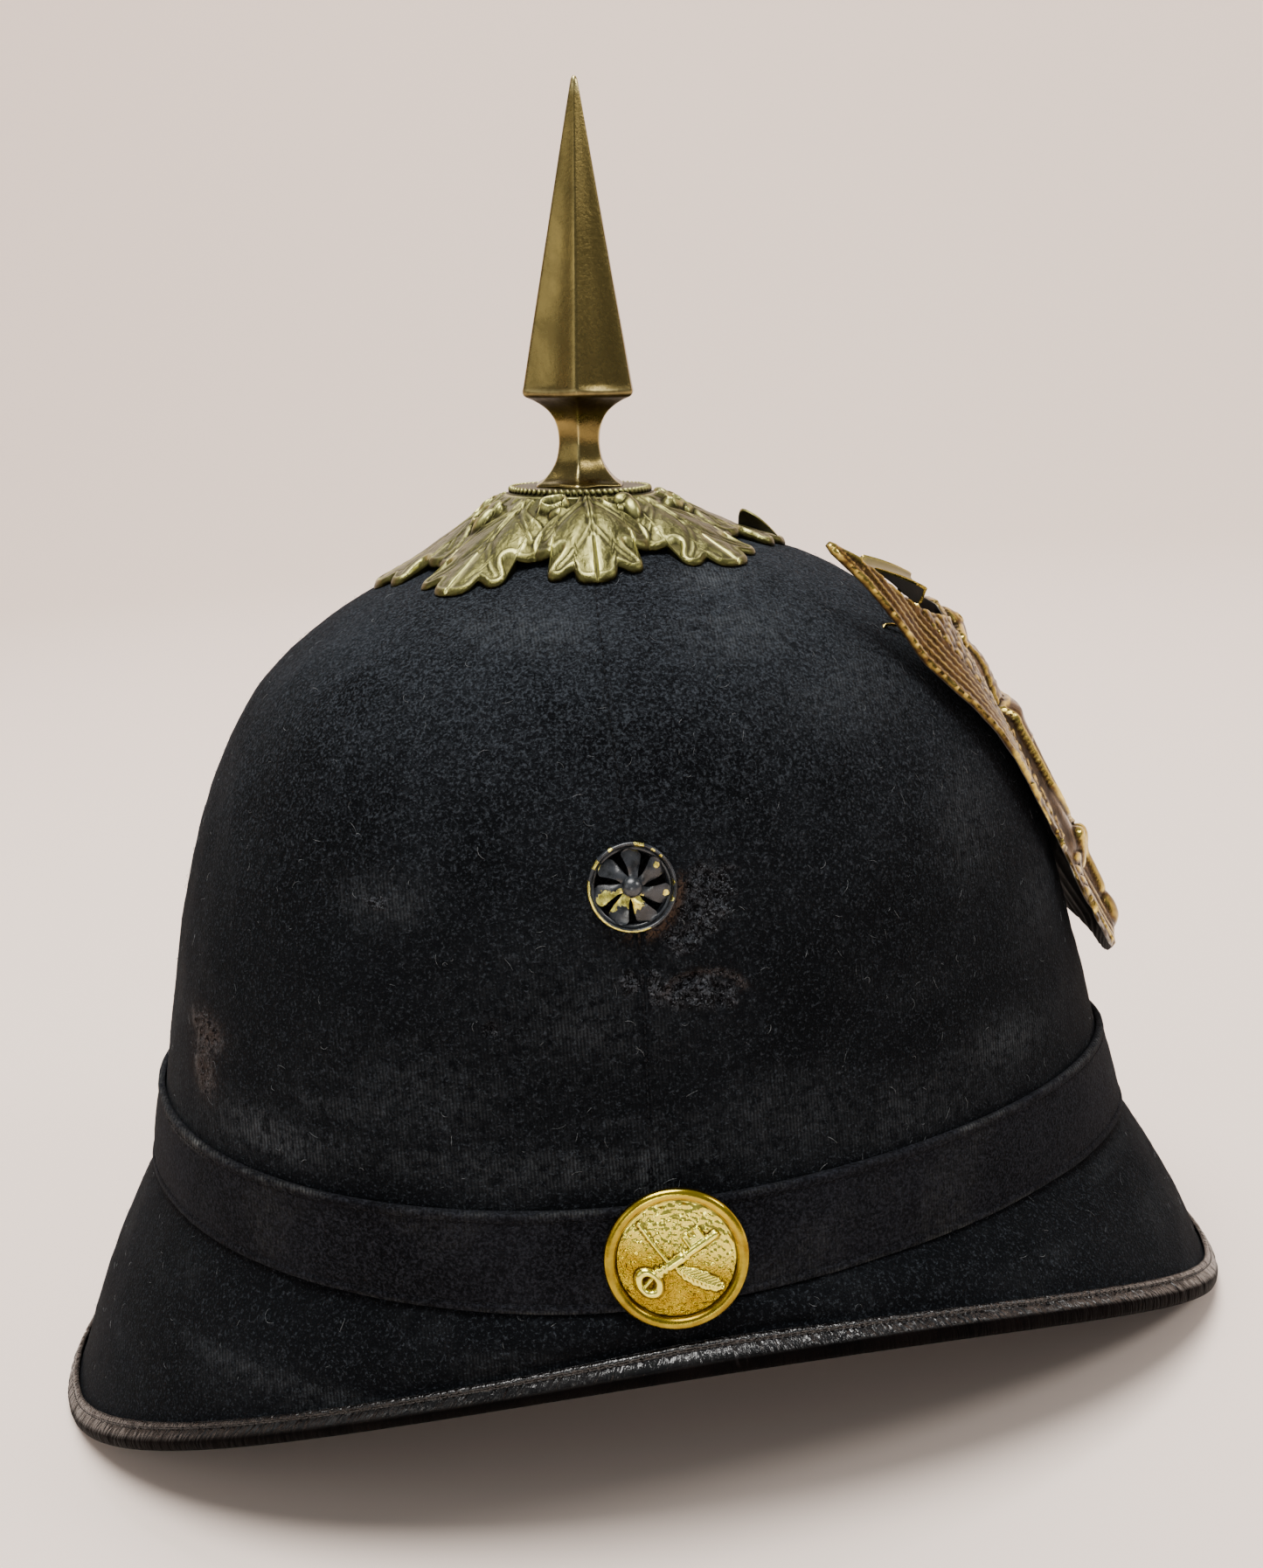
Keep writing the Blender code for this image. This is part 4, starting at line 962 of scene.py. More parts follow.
def makeHairs(name, count, lengths, radius, curl, lift, material, seed):
    # each hair: a short arc in the surface that lifts off it: side times a sine plus normal times lift, tapered
    base, normal, draw = scatterOnFelt(count, seed)
    aim = unit(np.cross(normal, draw.normal(size=(count, 3))))
    aside = np.cross(normal, aim)
    length = draw.uniform(*lengths, count)[:, None, None]
    bend = draw.normal(size=count)[:, None, None] * curl
    bend = np.where(np.abs(bend) < 0.05, 0.05, bend)
    t = np.linspace(0, 1, 5)[None, :, None]
    up = (0.06 + draw.random(count)[:, None, None] * lift * np.sin(math.pi * t) * length) + 0.05
    curve = aim[:, None] * np.sin(bend * t) + aside[:, None] * (1 - np.cos(bend * t))
    path = base[:, None] + normal[:, None] * up + length / bend * curve
    thinner = 0.35 + 0.65 * np.sin(math.pi * np.clip(t[..., 0], 0.08, 0.92))
    radii = radius * thinner * draw.uniform(0.7, 1.4, count)[:, None]
    points, quads = tubes(path, np.repeat(normal[:, None], 5, 1), radii)
    newPiece(newMesh(name, points, quads), material)


hairShare = 1.0
makeHairs("loose_lint", int(lint["hairs"] * hairShare), lint["hairLength"], lint["hairRadius"], 1.6, 0.08,
          paleLint, 5)
makeHairs("raised_nap", int(lint["nap"] * hairShare * 0.45), lint["napLength"], lint["napRadius"], 0.9, 0.5,
          greyNap, 9)
print("lint and nap made")


# the folded band
bandLook = {"fold": 1.7, "foldRise": 0.22, "groove": 0.16, "grooveAt": 2.0, "swell": 0.3, "wave": 0.3,
            "stitchPitch": 1.55}


def bandSection(share):
    # height of the band's outer face over its straight side: folds at both edges, a sewn groove inside each, a
    # slight swell
    fromEdge = np.minimum(share, 1 - share) * band["depth"]
    folded = bandLook["foldRise"] * (1 - rise(fromEdge, bandLook["fold"] * 0.8, bandLook["fold"] * 1.3))
    rounded = -0.5 * (1 - roundOff(1 - np.clip(fromEdge / 0.55, 0, 1)))
    groove = bandLook["groove"] * hill(fromEdge, bandLook["grooveAt"], 0.35)
    return folded + rounded - groove + bandLook["swell"] * rise(fromEdge, 2.2, 9)


def makeBand():
    # outer face: straight between its two edge lines plus the section and soft waves; the inner face plain
    columns = 640
    angles = fullTurn(columns)
    bottomLevel = crown["bandTopLevel"] - band["depth"]
    outTop = bandRing(band["top"], crown["bandSlope"], crown["bandTopLevel"], 0.0, angles)
    outBottom = bandRing(band["bottom"], band["bottomSlope"], bottomLevel, 0.0, angles)
    inTop = bandRing(band["top"], crown["bandSlope"], crown["bandTopLevel"], band["thick"], angles)
    inBottom = bandRing(band["bottom"], band["bottomSlope"], bottomLevel, band["thick"], angles)
    share = np.array([0, 0.004, 0.012, 0.022, 0.034, 0.05, 0.065, 0.078, 0.09, 0.102, 0.115, 0.135, 0.18, 0.25,
                      0.35, 0.45])
    share = np.concatenate([share, 1 - share[::-1]])
    outer = outTop[None] + (outBottom - outTop)[None] * share[:, None, None]
    normals = gridNormals(outer)
    wave = bandLook["wave"] * layeredNoise(outer * np.array([1, 1, 2.5]), 28, 41)
    wave = wave + 0.07 * layeredNoise(outer, 3.5, 44)
    loose = 0.5 + 0.5 * softNoise(outer * np.array([1, 1, 0]), 33, 47)
    edgeSlack = 0.35 * rise(-share, -0.3, 0.0)[:, None] * loose
    height = bandSection(share)[:, None] + wave * 0.6 + edgeSlack
    sag = 0.35 * layeredNoise(outTop * np.array([1, 1, 0]), 45, 49)  # the edges run a little up and down
    outer = outer + normals * height[..., None]
    outer[..., 2] += sag[None] * (np.abs(share - 0.5) * 2)[:, None] ** 2
    inner = np.stack([inTop, (inTop + inBottom) / 2, inBottom])
    rows = np.concatenate([outer, (inner + gridNormals(inner) * 0.15)[::-1]])
    fromEdge = np.minimum(share, 1 - share) * band["depth"]
    rub = 0.55 * (1 - rise(fromEdge, 0.2, 1.2))[:, None] * rise(layeredNoise(outer, 14, 52), -0.6, 0.7)
    rub = rub + 0.8 * hill(outer[..., 0], -108, 9) * hill(outer[..., 1], -38, 16) * (share < 0.12)[:, None]
    rub = rub + 0.16 * rise(layeredNoise(outer, 20, 55), 0.1, 0.9)
    marks = {"rub": np.concatenate([np.clip(rub, 0, 1), np.zeros((3, columns))]), "torn": np.zeros(rows.shape[:2])}
    mesh = newMesh("folded_band", rows, hoopQuads(len(rows), columns), marks=marks)
    newPiece(mesh, bandCloth, "hat_band")
    stitches = Stack()
    for edge in (bandLook["grooveAt"] / band["depth"], 1 - bandLook["grooveAt"] / band["depth"]):
        line, lifts = (np.array([pointAt(grid[:, c], edge, share) for c in range(0, columns, 8)])
                       for grid in (outer, normals))
        step = np.linalg.norm(np.roll(line, -1, 0) - line, axis=1)
        length = np.concatenate([[0], np.cumsum(step)])
        stitches.add(*stitchLoop(line, lifts, length, bandLook["stitchPitch"], 1.0, 0.02, 0.14, 0.15))
    newPiece(stitches.mesh("band_stitches"), darkThread)


makeBand()
print("band made")


# the leather binding round the brim
binding = {"columns": 1000, "sectionPoints": 42, "wrinkle": 0.2, "stitchPitch": 1.8, "stitchDown": 1.35,
           "jointAt": math.radians(-87.6)}


def makeBinding():
    # a closed spline through the named corners of its section, carried along the rim, wrinkled by noise
    columns = binding["columns"]
    angles = fullTurn(columns)
    edge, outward, up, face, _, arch = rimFrames(angles)
    half = crown["wall"] / 2 + rim["gap"]
    outerHalf = half + rim["leather"]
    middle = edge - outward * outerHalf
    at = lambda across, height: middle + face * across + up * height

    def onTable(across):  # a point of the underside, at the height the table has there
        line = middle + outward * across
        line[:, 2] = restLevel(line[:, 0]) + arch
        return line

    # outer lip, outer face down to the table, roll, inner face up, inner lip, then back inside the fold
    outerLeg, innerLeg = rim["outerLeg"], rim["innerLeg"]
    lines = np.array([
        at(outerHalf - 0.35, outerLeg + 0.25), at(outerHalf + 0.1, outerLeg - 0.25),
                      at(outerHalf + 0.12, outerLeg - 0.9),
        at(outerHalf - 0.3, 4.9), at(outerHalf + 0.05, 3.6), at(outerHalf + 0.2, 2.3), at(outerHalf, 1.1),
        onTable(1.3), onTable(0.2), onTable(-1.3),
        at(-outerHalf + 0.05, 1.4), at(-outerHalf, 3.0), at(-outerHalf, innerLeg - 0.9),
                      at(-outerHalf + 0.3, innerLeg - 0.2),
        at(-half - 0.1, innerLeg), at(-half, 3.5), at(-half + 0.3, 1.9), at(half - 0.3, 1.9), at(half, 3.5),
        at(half + 0.1, outerLeg + 0.2)])
    rows = curveThrough(lines, binding["sectionPoints"], closed=True)
    normals = gridNormals(rows)
    step = np.linalg.norm(np.roll(edge, -1, 0) - edge, axis=1)
    length = np.concatenate([[0], np.cumsum(step)[:-1]])
    share = np.arange(len(rows)) / len(rows)
    fromOutside = flatPoints(*np.broadcast_arrays(length[None], share[:, None] * 7.0))
    wrinkle = layeredNoise(fromOutside * np.array([1, 0.5, 1]), 2.1,
                           61) * rise(layeredNoise(fromOutside, 26, 66, 2), -0.9, 0.5)
    crease = -rise(softNoise(fromOutside * np.array([1, 0.3, 1]), 1.3, 71), 0.4, 0.85) * 0.3
    heights = np.einsum("ijk,jk->ij", rows - middle[None], up)
    shown = rise(np.einsum("ijk,jk->ij", rows - middle[None], face) ** 2, half ** 2 * 0.98, outerHalf ** 2 * 0.98)
    rows = rows + normals * ((binding["wrinkle"] * wrinkle + crease) * shown)[..., None]
    fromJoint = (angles - binding["jointAt"] + math.pi) % (2 * math.pi) - math.pi
    gapLine = hill(fromJoint, 0, 0.004)[None] * 0.4
    rows = rows - normals * (gapLine * shown)[..., None]
    rows[..., 2] = np.maximum(rows[..., 2], restLevel(rows[..., 0]) + 0.02)
    worn = rise(wrinkle, 0.5, 1.3) * 0.25 + 0.6 * hill(heights, outerLeg - 0.15, 0.3)
    worn = worn + 1.4 * hill(fromJoint, 0, 0.0045)[None] * (heights > 0.2)
    # the polish stays on the upper half of the outside, most on the wearer's right
    outside = np.einsum("ijk,jk->ij", rows - middle[None], face) > 0.4
    gloss = outside * rise(heights, 1.5, 3.3) * (0.3 + 0.7 * hill(np.sin((angles + 1.35) / 2), 0, 0.36)[None])
    uv = np.stack(np.broadcast_arrays(length[None] / 1000, share[:, None] * 0.03), -1)
    marks = {"worn": np.clip(worn, 0, 1), "gloss": gloss}
    mesh = newMesh("rolled_binding", rows, hoopQuads(len(rows), columns), marks=marks, uv=uv)
    newPiece(mesh, edgeLeather, "edge_binding")
    line = middle + face * (outerHalf - 0.02) + up * (outerLeg - binding["stitchDown"])
    length = np.concatenate([length, [length[-1] + step[-1]]])
    points, quads = stitchLoop(line, face, length, binding["stitchPitch"], 1.2, -0.04, 0.15, 0.16)
    newPiece(newMesh("binding_stitches", points, quads), leatherThread)


makeBinding()
print("binding made")


# the brass mount: eight oak leaves, acorns and cups between them, a beaded ring
def blurGrid(values, times):  # each value the mean of itself and its four neighbours, some times over
    for _ in range(times):
        padded = np.concatenate([values[:1], values, values[-1:]])
        values = (values + padded[2:] + padded[:-2] + np.roll(values, 1, 1) + np.roll(values, -1, 1)) / 5
    return values


def reliefMarks(height, times, step):
    # high where the relief stands over its blurred self, low where it lies under it
    over = height - blurGrid(height, times)
    return rise(over, 0.1 * step, step), rise(-over, 0.1 * step, step)


leafMount = {
    "leaves": 8, "centreX": -13.0, "shoulder": 17.8, "sideShorter": 0.12, "columns": 104, "rows": 92,
    "lift": 0.5, "upper": 0.5, "rolled": 0.22, "rib": 0.5, "vein": 0.27, "hollow": 0.22, "stipple": 0.1,
    "beads": 72, "beadsAt": 16.45, "bead": (0.95, 0.5, 0.95), "beadTurn": 30,
}
# half of one leaf from above: along its midrib from the spike's axis, and across
leafHalf = ((17.6, 0.0), (19.5, 2.2), (22.0, 2.6), (24.4, 3.6), (26.0, 6.6), (27.4, 10.6), (29.6, 13.6),
            (32.6, 14.9),
            (35.6, 13.9), (37.2, 11.4), (37.3, 8.9), (38.2, 7.6), (39.8, 8.6), (41.2, 10.6), (43.0, 12.0),
            (45.0, 11.4),
            (46.0, 9.2), (45.4, 6.8), (45.3, 5.3), (46.6, 5.4), (48.5, 4.5), (49.7, 2.4), (50.0, 0.0))
# side veins as broken lines from the midrib out to the lobes, and shorter ones between
leafVeins = (((21.5, 0.0), (24.5, 1.7)), ((24.5, 1.7), (27.6, 4.8)), ((27.6, 4.8), (30.4, 8.4)),
             ((30.4, 8.4), (32.4, 11.8)),
             ((32.5, 0.0), (36.2, 1.3)), ((36.2, 1.3), (39.4, 3.8)), ((39.4, 3.8), (42.0, 6.8)),
             ((42.0, 6.8), (43.4, 9.4)))


def leafShape(along, across, base):
    # one leaf's height: lifted blade, thin rolled edge, midrib and veins with a groove each side, stippled field
    edge = insideOf(along, across, curveThrough(leafHalf, 66), closed=False)
    vein = toSegments(along, across, [v[0] for v in leafVeins], [v[1] for v in leafVeins]).min(-1)
    fade = rise(50.0 - along, 2.0, 8.0)
    blade = roundOff(1 - np.clip((edge + 0.05) / 1.1, 0, 1)) * (base + leafMount["lift"])
    rolled = leafMount["rolled"] * hill(edge, 0.9, 0.4) * (0.55 + 0.45 * rise(along, 36, 46))
    ribWidth = 0.3 + 0.35 * rise(40 - along, 0, 20)
    rib = fade * leafMount["rib"] * (np.exp(-(across / ribWidth) ** 2) - 0.5 * hill(across, ribWidth * 2.1, 0.4))
    veins = leafMount["vein"] * (hill(vein, 0, 0.3) - 0.5 * hill(vein, 0.75, 0.4))
    field = rise(edge, 0.9, 1.9) * rise(vein, 0.5, 1.2) * rise(across, 0.5, 1.2)
    stipple = field * leafMount["stipple"] * softNoise(flatPoints(along, across), 0.62, 83)
    puff = 0.38 * rise(edge, 0.6, 3.6) * rise(vein, 0.4, 2.6) - leafMount["hollow"] * rise(edge, 0.7, 1.6)
    height = blade + rolled + (rib + veins) * rise(edge, 0.2, 1.2) + stipple + puff
    return np.where(edge > -0.05, height, -1.0), edge


def mountRelief(radius, angles):
    # the highest of: ground with pleats and darts, four leaves below, four above, acorns and cups in the gaps;
    # and how bare a place is, 1 outside the leaves and past the ground, where the sheet sinks into the felt
    scale = 1 - leafMount["sideShorter"] * np.sin(angles) ** 2
    far = radius / scale
    quarter, eighth = math.pi / 2, math.pi / 8
    offAbove = (angles + quarter / 2) % quarter - quarter / 2
    offBelow = angles % quarter - quarter / 2
    above, edgeAbove = leafShape(far * np.cos(offAbove), np.abs(far * np.sin(offAbove)), leafMount["upper"])
    below, edgeBelow = leafShape(far * np.cos(offBelow), np.abs(far * np.sin(offBelow)), 0.0)
    gap = angles % (2 * eighth) - eighth
    number = np.floor(angles / (2 * eighth)).astype(int) % 2
    along, across = far * np.cos(gap), far * np.sin(gap)
    ground = 0.16 * np.cos(np.abs(across) * 2.6) * rise(far, 27, 31) + 0.3 * hill(far, 37.6, 0.5)
    spike = np.abs((angles * 14 / math.pi) % 1 - 0.5) * 2
    ground = ground + 0.4 * rise(1 - (far - 18.0) / 3.4 - spike, 0, 0.25) * (far < 22)
    ellipse = lambda x, y, a, b: np.sqrt(((along - x) / a) ** 2 + ((across - y) / b) ** 2)
    body = lambda x, y, a, b, low, high: np.where(
        ellipse(x, y, a, b) < 1, low + high * roundOff(ellipse(x, y, a, b)), -1)
    # acorn: a nut in a scaly cap with a leaf curled over it
    acorn = np.maximum(body(26.6, 1.0, 3.1, 2.1, 0.5, 2.5), body(23.4, 0.6, 1.9, 2.8, 0.8, 1.9))
    ringAngle = np.arctan2(across + 3.0, along - 24.4)
    curl = 0.5 + 1.3 * hill(np.hypot((along - 24.4), (across + 3.0) * 0.8), 2.3, 0.55)
    acorn = np.maximum(acorn, np.where((curl > 0.75) & (np.abs(ringAngle + 0.4) < 2.5), curl, -1))
    # open cup: an oval rim round a sunk bowl, with a lip to one side
    bowl = ellipse(23.6, 0.4, 1.9, 3.3)
    cup = np.where(bowl < 1.3, 0.5 + 1.8 * hill(bowl, 0.95, 0.2) - 0.5 * (bowl < 0.7), -1)
    cup = np.maximum(cup, body(26.6, 2.6, 1.3, 2.6, 0.4, 1.1))
    twig = toSegments(along, across, [(18.5, 1.5), (20.6, 2.4)], [(20.6, 2.4), (23.0, 3.0)]).min(-1)
    cup = np.maximum(cup, np.where(twig < 0.8, 0.3 + 0.8 * hill(twig, 0, 0.45), -1))
    height = np.maximum(np.maximum(ground, below), np.maximum(above, np.where(number == 1, cup, acorn)))
    bare = rise(np.minimum(np.minimum(-edgeAbove, -edgeBelow), far - 38.2), 0.0, 0.35)
    return height, bare


def mountReach(angles):
    # how far the sheet goes at each angle: the leaves' outermost crossing, or the round ground between them,
    # less by sideShorter times the sine squared
    line = curveThrough(leafHalf, 200)
    lineAngle, lineReach = np.arctan2(line[:, 1], line[:, 0]), np.hypot(line[:, 0], line[:, 1])
    off = np.maximum(np.abs((angles + math.pi / 8) % (math.pi / 4) - math.pi / 8), 1e-4)
    a, b = lineAngle[:-1], lineAngle[1:]
    share = (off[:, None] - a) / np.where(a == b, 1e-9, b - a)
    reach = np.where((share >= 0) & (share <= 1), lineReach[:-1] + share * np.diff(lineReach), 0).max(1)
    return np.maximum(reach, 38.0) * (1 - leafMount["sideShorter"] * np.sin(angles) ** 2)


def makeLeafMount():
    # a sheet that slopes from the ring to just over the felt, plus the relief, out to its reach at each angle
    columns = leafMount["leaves"] * leafMount["columns"]
    angles = fullTurn(columns)
    reach = mountReach(angles)
    direction = np.stack([np.cos(angles), np.sin(angles)], -1)
    centre = np.array([leafMount["centreX"], 0])
    fromRib = np.degrees(np.abs((angles + math.pi / 8) % (math.pi / 4) - math.pi / 8))
    shorter = 1 - leafMount["sideShorter"] * np.sin(angles) ** 2
    cadReach = np.interp(fromRib, (0, 9, 13.5, 22.5), (50, 47, 45, 39)) * shorter
    rimPlan = direction * cadReach[:, None] + centre
    rimTop = crownLevel(rimPlan[:, 0], rimPlan[:, 1]) + 1.65
    t = spread(lambda s: 1 + 1.5 * rise(s, 0.93, 0.99), leafMount["rows"], 0, 1)
    radius = leafMount["shoulder"] + (reach - leafMount["shoulder"]) * t[:, None]
    s = (radius - leafMount["shoulder"]) / (cadReach - leafMount["shoulder"])
    swell = (0.75 + 0.25 * np.cos(angles * 8)) * (1 - 1.7 * np.cos(angles) ** 2)
    base = -1.4 + (rimTop + 1.4) * s + 1.9 * np.sin(math.pi * np.clip(s, 0, 1)) * swell
    plan = direction[None] * radius[..., None] + centre
    felt = crownLevel(plan[..., 0], plan[..., 1])
    base = np.maximum(base - 0.7 * rise(s, 0.35, 1.0), felt + 0.55)
    relief, bare = mountRelief(radius, np.broadcast_to(angles, radius.shape))
    relief = blurGrid(relief, 1)
    along = plan[..., 0] - leafMount["centreX"]
    folded = rise(pastFold(along, plan[..., 1]), 0.1, 0.5) * rise(along, 38.4, 39.2) * rise(17 - plan[..., 1], 0, 1)
    bare = np.maximum(bare, folded)
    roundEdge = 0.35 * (roundOff(np.clip((t - 0.978) / 0.022, 0, 1)) - 1)[:, None]
    level = base + relief * rise(s, 0.0, 0.05) + roundEdge
    level = level + 0.04 * softNoise(np.concatenate([plan, level[..., None]], -1), 0.75, 81)
    level = level + (felt - 0.5 - level) * bare
    relief = relief - 1.2 * bare
    top = np.concatenate([plan, level[..., None]], -1)
    flatRow = lambda r, z: np.concatenate([direction * r + centre, np.full((columns, 1), z)], 1)
    # radius, level and how deep a row of the ring counts for grime
    ringRows = ((11.0, 0.3, 0.0), (15.3, 0.3, 0.0), (15.7, 0.2, 0.0), (15.95, 0.0, -0.5), (16.1, -0.4, -0.9),
                (16.6, -0.9, -0.9), (17.3, -1.05, -0.7), (17.7, -1.2, -0.3))
    ringRise = np.array(ringRows)[:, 2:] + np.zeros((1, columns))
    outer = np.concatenate([[flatRow(r, z) for r, z, _ in ringRows], top])
    inner = [top[i] * [1, 1, 0] + [0, 0, 1] * (base[i] - 0.75)[:, None] for i in (12, 30, 50, 70, 84)]
    inner = np.stack([flatRow(15.5, -1.6)] + inner + [top[-1] - [0, 0, 0.5]])
    high, low = reliefMarks(np.concatenate([ringRise, relief]), 12, 0.22)
    # painted shade: the ring's top round the spike's foot half dark and the rows under the beads near black
    high[:8], low[:3], low[3:8] = 0, 0.5, 0.9
    tips = [[centre[0], 0, -0.1], [centre[0], 0, -1.6]]
    # the sheet's underside and edge wall get "low" 0.7: painted shade under the leaves
    mesh = shellMesh("oak_leaf_mount", outer, inner, tips, {"high": (high, 0.0), "low": (low, 0.7)})
    newPiece(mesh, leafBrass, "leaf_base")


def makeBeads():  # one flattened ball, turned by its own slant and set round the ring
    beads = leafMount["beads"]
    turn = fullTurn(beads)
    ball = ballPoints(6, 8) * np.array(leafMount["bead"])
    heading = turn + np.radians(leafMount["beadTurn"])
    places = np.zeros((beads, 4, 4))
    places[:, 0, 0] = places[:, 1, 1] = np.cos(heading)
    places[:, 0, 1], places[:, 1, 0] = -np.sin(heading), np.sin(heading)
    places[:, 2, 2] = places[:, 3, 3] = 1
    places[:, 0, 3] = leafMount["centreX"] + leafMount["beadsAt"] * np.cos(turn)
    places[:, 1, 3], places[:, 2, 3] = leafMount["beadsAt"] * np.sin(turn), -0.4
    points, quads = repeatShape(ball, sheetQuads(6, 8), places)
    # painted light: each bead is brighter on its top and dark on its underside and on the sides where it meets the
    # next
    low = np.maximum(rise(-ball[:, 2], 0.0, 0.3), rise(np.abs(ball[:, 1]), 0.25, 0.5))
    marks = {"high": np.tile(rise(ball[:, 2], 0.0, 0.4), beads), "low": np.tile(low, beads)}
    newPiece(newMesh("beaded_ring", points, quads, marks=marks), leafBrass)


# a fold across the front leaf, from the spike's axis: along and across at the tip, then at the lobe's root
bentLobe = {"tip": (49.0, 1.5), "root": (40.0, 5.0), "deep": 6.4, "startTurn": 92.0, "endTurn": 158.0, "sheet": 0.5}


def pastFold(along, across):
    # distance past the fold, plus on the wearer's left
    fold = np.array(bentLobe["root"]) - bentLobe["tip"]
    fold = fold / np.hypot(*fold)
    return (along - bentLobe["tip"][0]) * fold[1] - (across - bentLobe["tip"][1]) * fold[0]


def makeBentLobe():
    # the front leaf's left lobe, turned up at its fold and rolled back over the leaf: its turn grows from
    # startTurn to endTurn with the distance, its depth grows from the tip and ends round
    s, k = np.linspace(0, 1.07, 34), np.linspace(0, 1, 12)
    depth = bentLobe["deep"] * np.minimum(s / 0.82, 1) * roundOff(np.clip(s - 0.82, 0, 1) / 0.25) + 0.2
    d = depth[:, None] * k
    first, last = math.radians(bentLobe["startTurn"]), math.radians(bentLobe["endTurn"])
    rate = (last - first) / bentLobe["deep"]
    turn = first + rate * d
    over, up = (np.sin(turn) - math.sin(first)) / rate, (math.cos(first) - np.cos(turn)) / rate
    tip, root = np.array(bentLobe["tip"]), np.array(bentLobe["root"])
    fold = unit(root - tip)
    beside = np.array([fold[1], -fold[0]])
    plan = tip + (root - tip) * s[:, None] + [leafMount["centreX"], 0]
    level = crownLevel(plan[:, 0], plan[:, 1]) + 1.3
    sheets = []
    for offset in (bentLobe["sheet"] / 2, -bentLobe["sheet"] / 2):
        side, rises = over - offset * np.sin(turn), up + offset * np.cos(turn)
        across = plan[:, None] + side[..., None] * beside
        sheets.append(np.concatenate([across, (level[:, None] + rises)[..., None]], -1))
    grid = np.concatenate([sheets[0], sheets[1][:, ::-1]], 1)
    quads = turnedOut(grid.reshape(-1, 3), sheetQuads(*grid.shape[:2]))
    edge = rise(k, 0.86, 1.0) + 0 * s[:, None]
    # painted shade: the face turned down to the felt is near black by "back" and "low"; the free edge and the other
    # face are lighter
    marks = {"high": np.concatenate([0.5 * edge, 0.3 + 0.4 * edge[:, ::-1]], 1),
             "low": np.concatenate([1 - edge, 0.2 + 0 * edge], 1),
             "back": np.concatenate([0.75 * (1 - edge), 0 * edge], 1)}
    newPiece(newMesh("bent_leaf_lobe", grid, quads, marks=marks), leafBrass, sharp=50)


makeLeafMount()
makeBeads()
makeBentLobe()
print("oak leaf mount made")


# the spike
spear = {
    "turn": -97.0, "tip": 92.8, "columns": 126, "corner": 0.984,
    # level, corner radius, how hollow the faces are, how round the section is
    "neck": ((0.3, 11.5, 0.03, 0.35), (0.7, 11.9, 0.03, 0.3), (1.3, 11.5, 0.03, 0.2), (1.9, 10.2, 0.04, 0.12),
             (2.7, 9.1, 0.04, 0.1), (4.2, 7.7, 0.035, 0.1),
             (6.4, 6.4, 0.03, 0.15), (9.0, 5.75, 0.02, 0.22), (11.2, 5.6, 0.02, 0.25), (13.4, 5.85, 0.02, 0.22),
             (15.6, 6.6, 0.03, 0.15),
             (17.6, 8.0, 0.035, 0.1), (19.2, 10.0, 0.03, 0.06), (20.4, 12.2, 0.025, 0.03)),
    "head": ((20.9, 13.5, 0.02, 0.0), (21.15, 14.2, 0.02, 0.0), (21.5, 14.7, 0.02, 0.0), (22.1, 15.0, 0.02, 0.0),
             (22.8, 15.0, 0.03, 0.0), (23.3, 14.85, 0.045, 0.0)),
}


def makeSpike():
    # hexagon section: cos 30 over cos of the angle from the face's middle, hollowed, its corners softened; rows by
    # the profile
    neck = curveThrough(spear["neck"], 44)
    shaft = np.linspace(0, 1, 60)[1:]
    base, tipLevel = np.array(spear["head"][-1]), spear["tip"] - 2.6
    straight = np.stack([base[0] + (tipLevel - base[0]) * shaft, base[1] + (1.25 - base[1]) * shaft,
                         0.05 - 0.03 * shaft, 0.02 + 0.25 * shaft ** 6], -1)
    cap = np.array([(0.9, 1.05, 0.0, 0.6), (1.7, 0.85, 0.0, 0.9), (2.3, 0.55, 0.0, 1.0), (2.56, 0.25, 0.0, 1.0)])
    cap[:, 0] += tipLevel
    rows = np.concatenate([neck, np.array(spear["head"]), straight, cap])[::-1]
    perFace = spear["columns"] // 6
    inFace = spread(lambda s: 1 + 5 * (hill(s, -30, 2.5) + hill(s, 30, 2.5)), perFace + 1, -30, 30)[:-1]
    psi = np.radians(np.tile(inFace, 6))
    turn = np.radians(spear["turn"] + 30) + np.radians(np.repeat(np.arange(6) * 60, perFace)) + psi
    hexagon = math.cos(math.pi / 6) / np.cos(psi)
    sharp = hexagon[None] - rows[:, 2:3] * np.cos(3 * psi)[None]
    soft = -np.log(np.exp(-70 * sharp) + np.exp(-70 * spear["corner"])) / 70
    shape = soft * (1 - rows[:, 3:4]) + rows[:, 3:4] * 0.93
    reach = rows[:, 1:2] * shape
    level = np.repeat(rows[:, :1], len(psi), 1)
    level = level - 0.35 * (1 - np.cos(psi * 6))[None] / 2 * hill(rows[:, 0], 1.0, 1.0)[:, None]
    points = np.stack([leafMount["centreX"] + reach * np.cos(turn), reach * np.sin(turn), level], -1)
    points = points + gridNormals(points) * 0.035 * softNoise(points * np.array([1, 1, 0.4]), 6, 91)[..., None]
    # polish on the ridges, the widest line and the tip; grime under the head and at the foot
    ridge, at = hill(np.abs(np.degrees(psi)), 30, 2.2)[None], rows[:, :1]
    high = 0.12 * ridge + 0.55 * hill(at, 22.4, 0.6) + 0.8 * rise(at, 88, 92) + 0.7 * ridge * rise(-at, -21, -18)
    low = 0.9 * hill(at, 20.0, 2.6) + 0.7 * hill(at, 0.4, 0.5) + 0 * ridge
    tips = np.array([[leafMount["centreX"], 0, spear["tip"]], [leafMount["centreX"], 0, 0.3]])
    marks = {"high": (np.clip(high, 0, 1), [1, 0]), "low": (np.clip(low, 0, 1), [0, 1])}
    newPiece(turnedMesh("spear_point", points, tips, marks), spearBrass, "spike")


makeSpike()
print("spike made")


